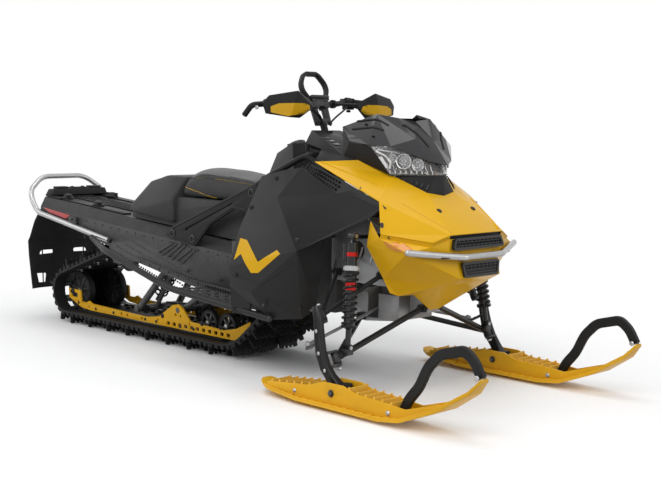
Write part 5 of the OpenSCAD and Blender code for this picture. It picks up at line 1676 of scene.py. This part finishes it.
# ---------- make everything ----------
for make in (
    make_tunnel, make_boards, make_rear, make_braces, make_tank, make_seat,
    make_panels, make_nose, make_headlight, make_screen, make_surround, make_chassis,
    make_arms, make_shocks, make_track, make_wheels, make_skid, make_steering,
    make_guards, make_linkage,
):
    make()


# ---------- camera, floor and light ----------
CAMERA_AT = (3.7875, -3.488, 1.007)
AZIMUTH, ELEVATION, ROLL = math.radians(44.28), math.radians(6.08), math.radians(1.01)
LENS = 67.3
FLOOR_REACH = (2.1, 1.35)
LIGHTS = [  # name, place, aim, size, power
    ("key", (2.5, -5.0, 5.2), (0, 0, 0.4), (4.5, 4.5), 235),
    ("fill", (-5.0, -4.0, 3.2), (0, 0, 0.4), (4.0, 3.0), 60),
    ("front", (5.5, 1.5, 2.4), (0, 0, 0.5), (3.0, 3.0), 45),
    ("top", (0, 0.5, 6.0), (0, 0, 0), (5.0, 3.0), 100),
]


def make_camera():
    data = bpy.data.cameras.new("camera")
    data.lens = LENS
    data.sensor_width = 36
    data.clip_end = 60
    cam = bpy.data.objects.new("camera", data)
    bpy.context.scene.collection.objects.link(cam)
    a, e, r = AZIMUTH, ELEVATION, ROLL
    back = Vector((math.sin(a) * math.cos(e), -math.cos(a) * math.cos(e), math.sin(e)))
    right = Vector((math.cos(a), math.sin(a), 0))
    up = back.cross(right)
    x = math.cos(r) * right + math.sin(r) * up
    y = -math.sin(r) * right + math.cos(r) * up
    m = Matrix((x, y, back)).transposed().to_4x4()
    m.translation = Vector(CAMERA_AT)
    cam.matrix_world = m
    bpy.context.scene.camera = cam


def make_world():
    world = bpy.data.worlds.new("studio")
    bpy.context.scene.world = world
    world.use_nodes = True
    nodes, links = world.node_tree.nodes, world.node_tree.links
    nodes.clear()
    out = nodes.new("ShaderNodeOutputWorld")
    path = nodes.new("ShaderNodeLightPath")
    ambient = nodes.new("ShaderNodeBackground")
    ambient.inputs["Strength"].default_value = 0.55
    sky = nodes.new("ShaderNodeTexGradient")
    coords = nodes.new("ShaderNodeTexCoord")
    mapping = nodes.new("ShaderNodeMapping")
    mapping.inputs["Rotation"].default_value = (0, math.radians(90), 0)
    links.new(coords.outputs["Generated"], mapping.inputs["Vector"])
    links.new(mapping.outputs["Vector"], sky.inputs["Vector"])
    tones = ramp(nodes, links, sky.outputs["Fac"],
                 [(0.0, (0.35, 0.36, 0.38, 1)), (0.5, (0.8, 0.82, 0.85, 1)), (1.0, (1, 1, 1, 1))])
    links.new(tones.outputs["Color"], ambient.inputs["Color"])
    white = nodes.new("ShaderNodeBackground")
    white.inputs["Color"].default_value = (1, 1, 1, 1)
    white.inputs["Strength"].default_value = 1.0
    # the camera, reflections and clear parts see plain white
    bright = path.outputs["Is Camera Ray"]
    for ray in ("Is Transmission Ray", "Is Glossy Ray"):
        larger = nodes.new("ShaderNodeMath")
        larger.operation = "MAXIMUM"
        links.new(bright, larger.inputs[0])
        links.new(path.outputs[ray], larger.inputs[1])
        bright = larger.outputs["Value"]
    mix = nodes.new("ShaderNodeMixShader")
    links.new(bright, mix.inputs["Fac"])
    links.new(ambient.outputs["Background"], mix.inputs[1])
    links.new(white.outputs["Background"], mix.inputs[2])
    links.new(mix.outputs["Shader"], out.inputs["Surface"])


def add_light(name, place, aim, size, power):
    data = bpy.data.lights.new(name, "AREA")
    data.shape = "RECTANGLE"
    data.size, data.size_y = size
    data.energy = power
    o = bpy.data.objects.new(name, data)
    bpy.context.scene.collection.objects.link(o)
    o.location = place
    o.rotation_euler = (Vector(aim) - Vector(place)).to_track_quat("-Z", "Y").to_euler()


def make_floor():
    bm = bmesh.new()
    bmesh.ops.create_circle(bm, cap_ends=True, radius=26, segments=96)
    for v in bm.verts:
        v.co.z = -0.0005
    mesh = bpy.data.meshes.new("floor")
    bm.to_mesh(mesh)
    bm.free()
    floor = bpy.data.objects.new("floor", mesh)
    bpy.context.scene.collection.objects.link(floor)
    m, nodes, links, bsdf = new_material("floor_paper")
    bsdf.inputs["Base Color"].default_value = (0.97, 0.97, 0.97, 1)
    bsdf.inputs["Roughness"].default_value = 0.8
    # the paper fades into the white backdrop away from the machine
    coords = nodes.new("ShaderNodeTexCoord")
    middle = nodes.new("ShaderNodeVectorMath")
    middle.operation = "MULTIPLY"
    middle.inputs[1].default_value = (1 / FLOOR_REACH[0], 1 / FLOOR_REACH[1], 0)
    links.new(coords.outputs["Object"], middle.inputs[0])
    far = nodes.new("ShaderNodeVectorMath")
    far.operation = "LENGTH"
    links.new(middle.outputs["Vector"], far.inputs[0])
    fade = nodes.new("ShaderNodeMapRange")
    fade.interpolation_type = "SMOOTHSTEP"
    fade.inputs["From Min"].default_value = 0.55
    fade.inputs["From Max"].default_value = 1.25
    links.new(far.outputs["Value"], fade.inputs["Value"])
    clear = nodes.new("ShaderNodeBsdfTransparent")
    mix = nodes.new("ShaderNodeMixShader")
    links.new(fade.outputs["Result"], mix.inputs["Fac"])
    links.new(bsdf.outputs["BSDF"], mix.inputs[1])
    links.new(clear.outputs["BSDF"], mix.inputs[2])
    links.new(mix.outputs["Shader"], nodes["Material Output"].inputs["Surface"])
    mesh.materials.append(m)


make_camera()
make_world()
make_floor()
for light in LIGHTS:
    add_light(*light)
bpy.context.scene.view_settings.view_transform = "Standard"
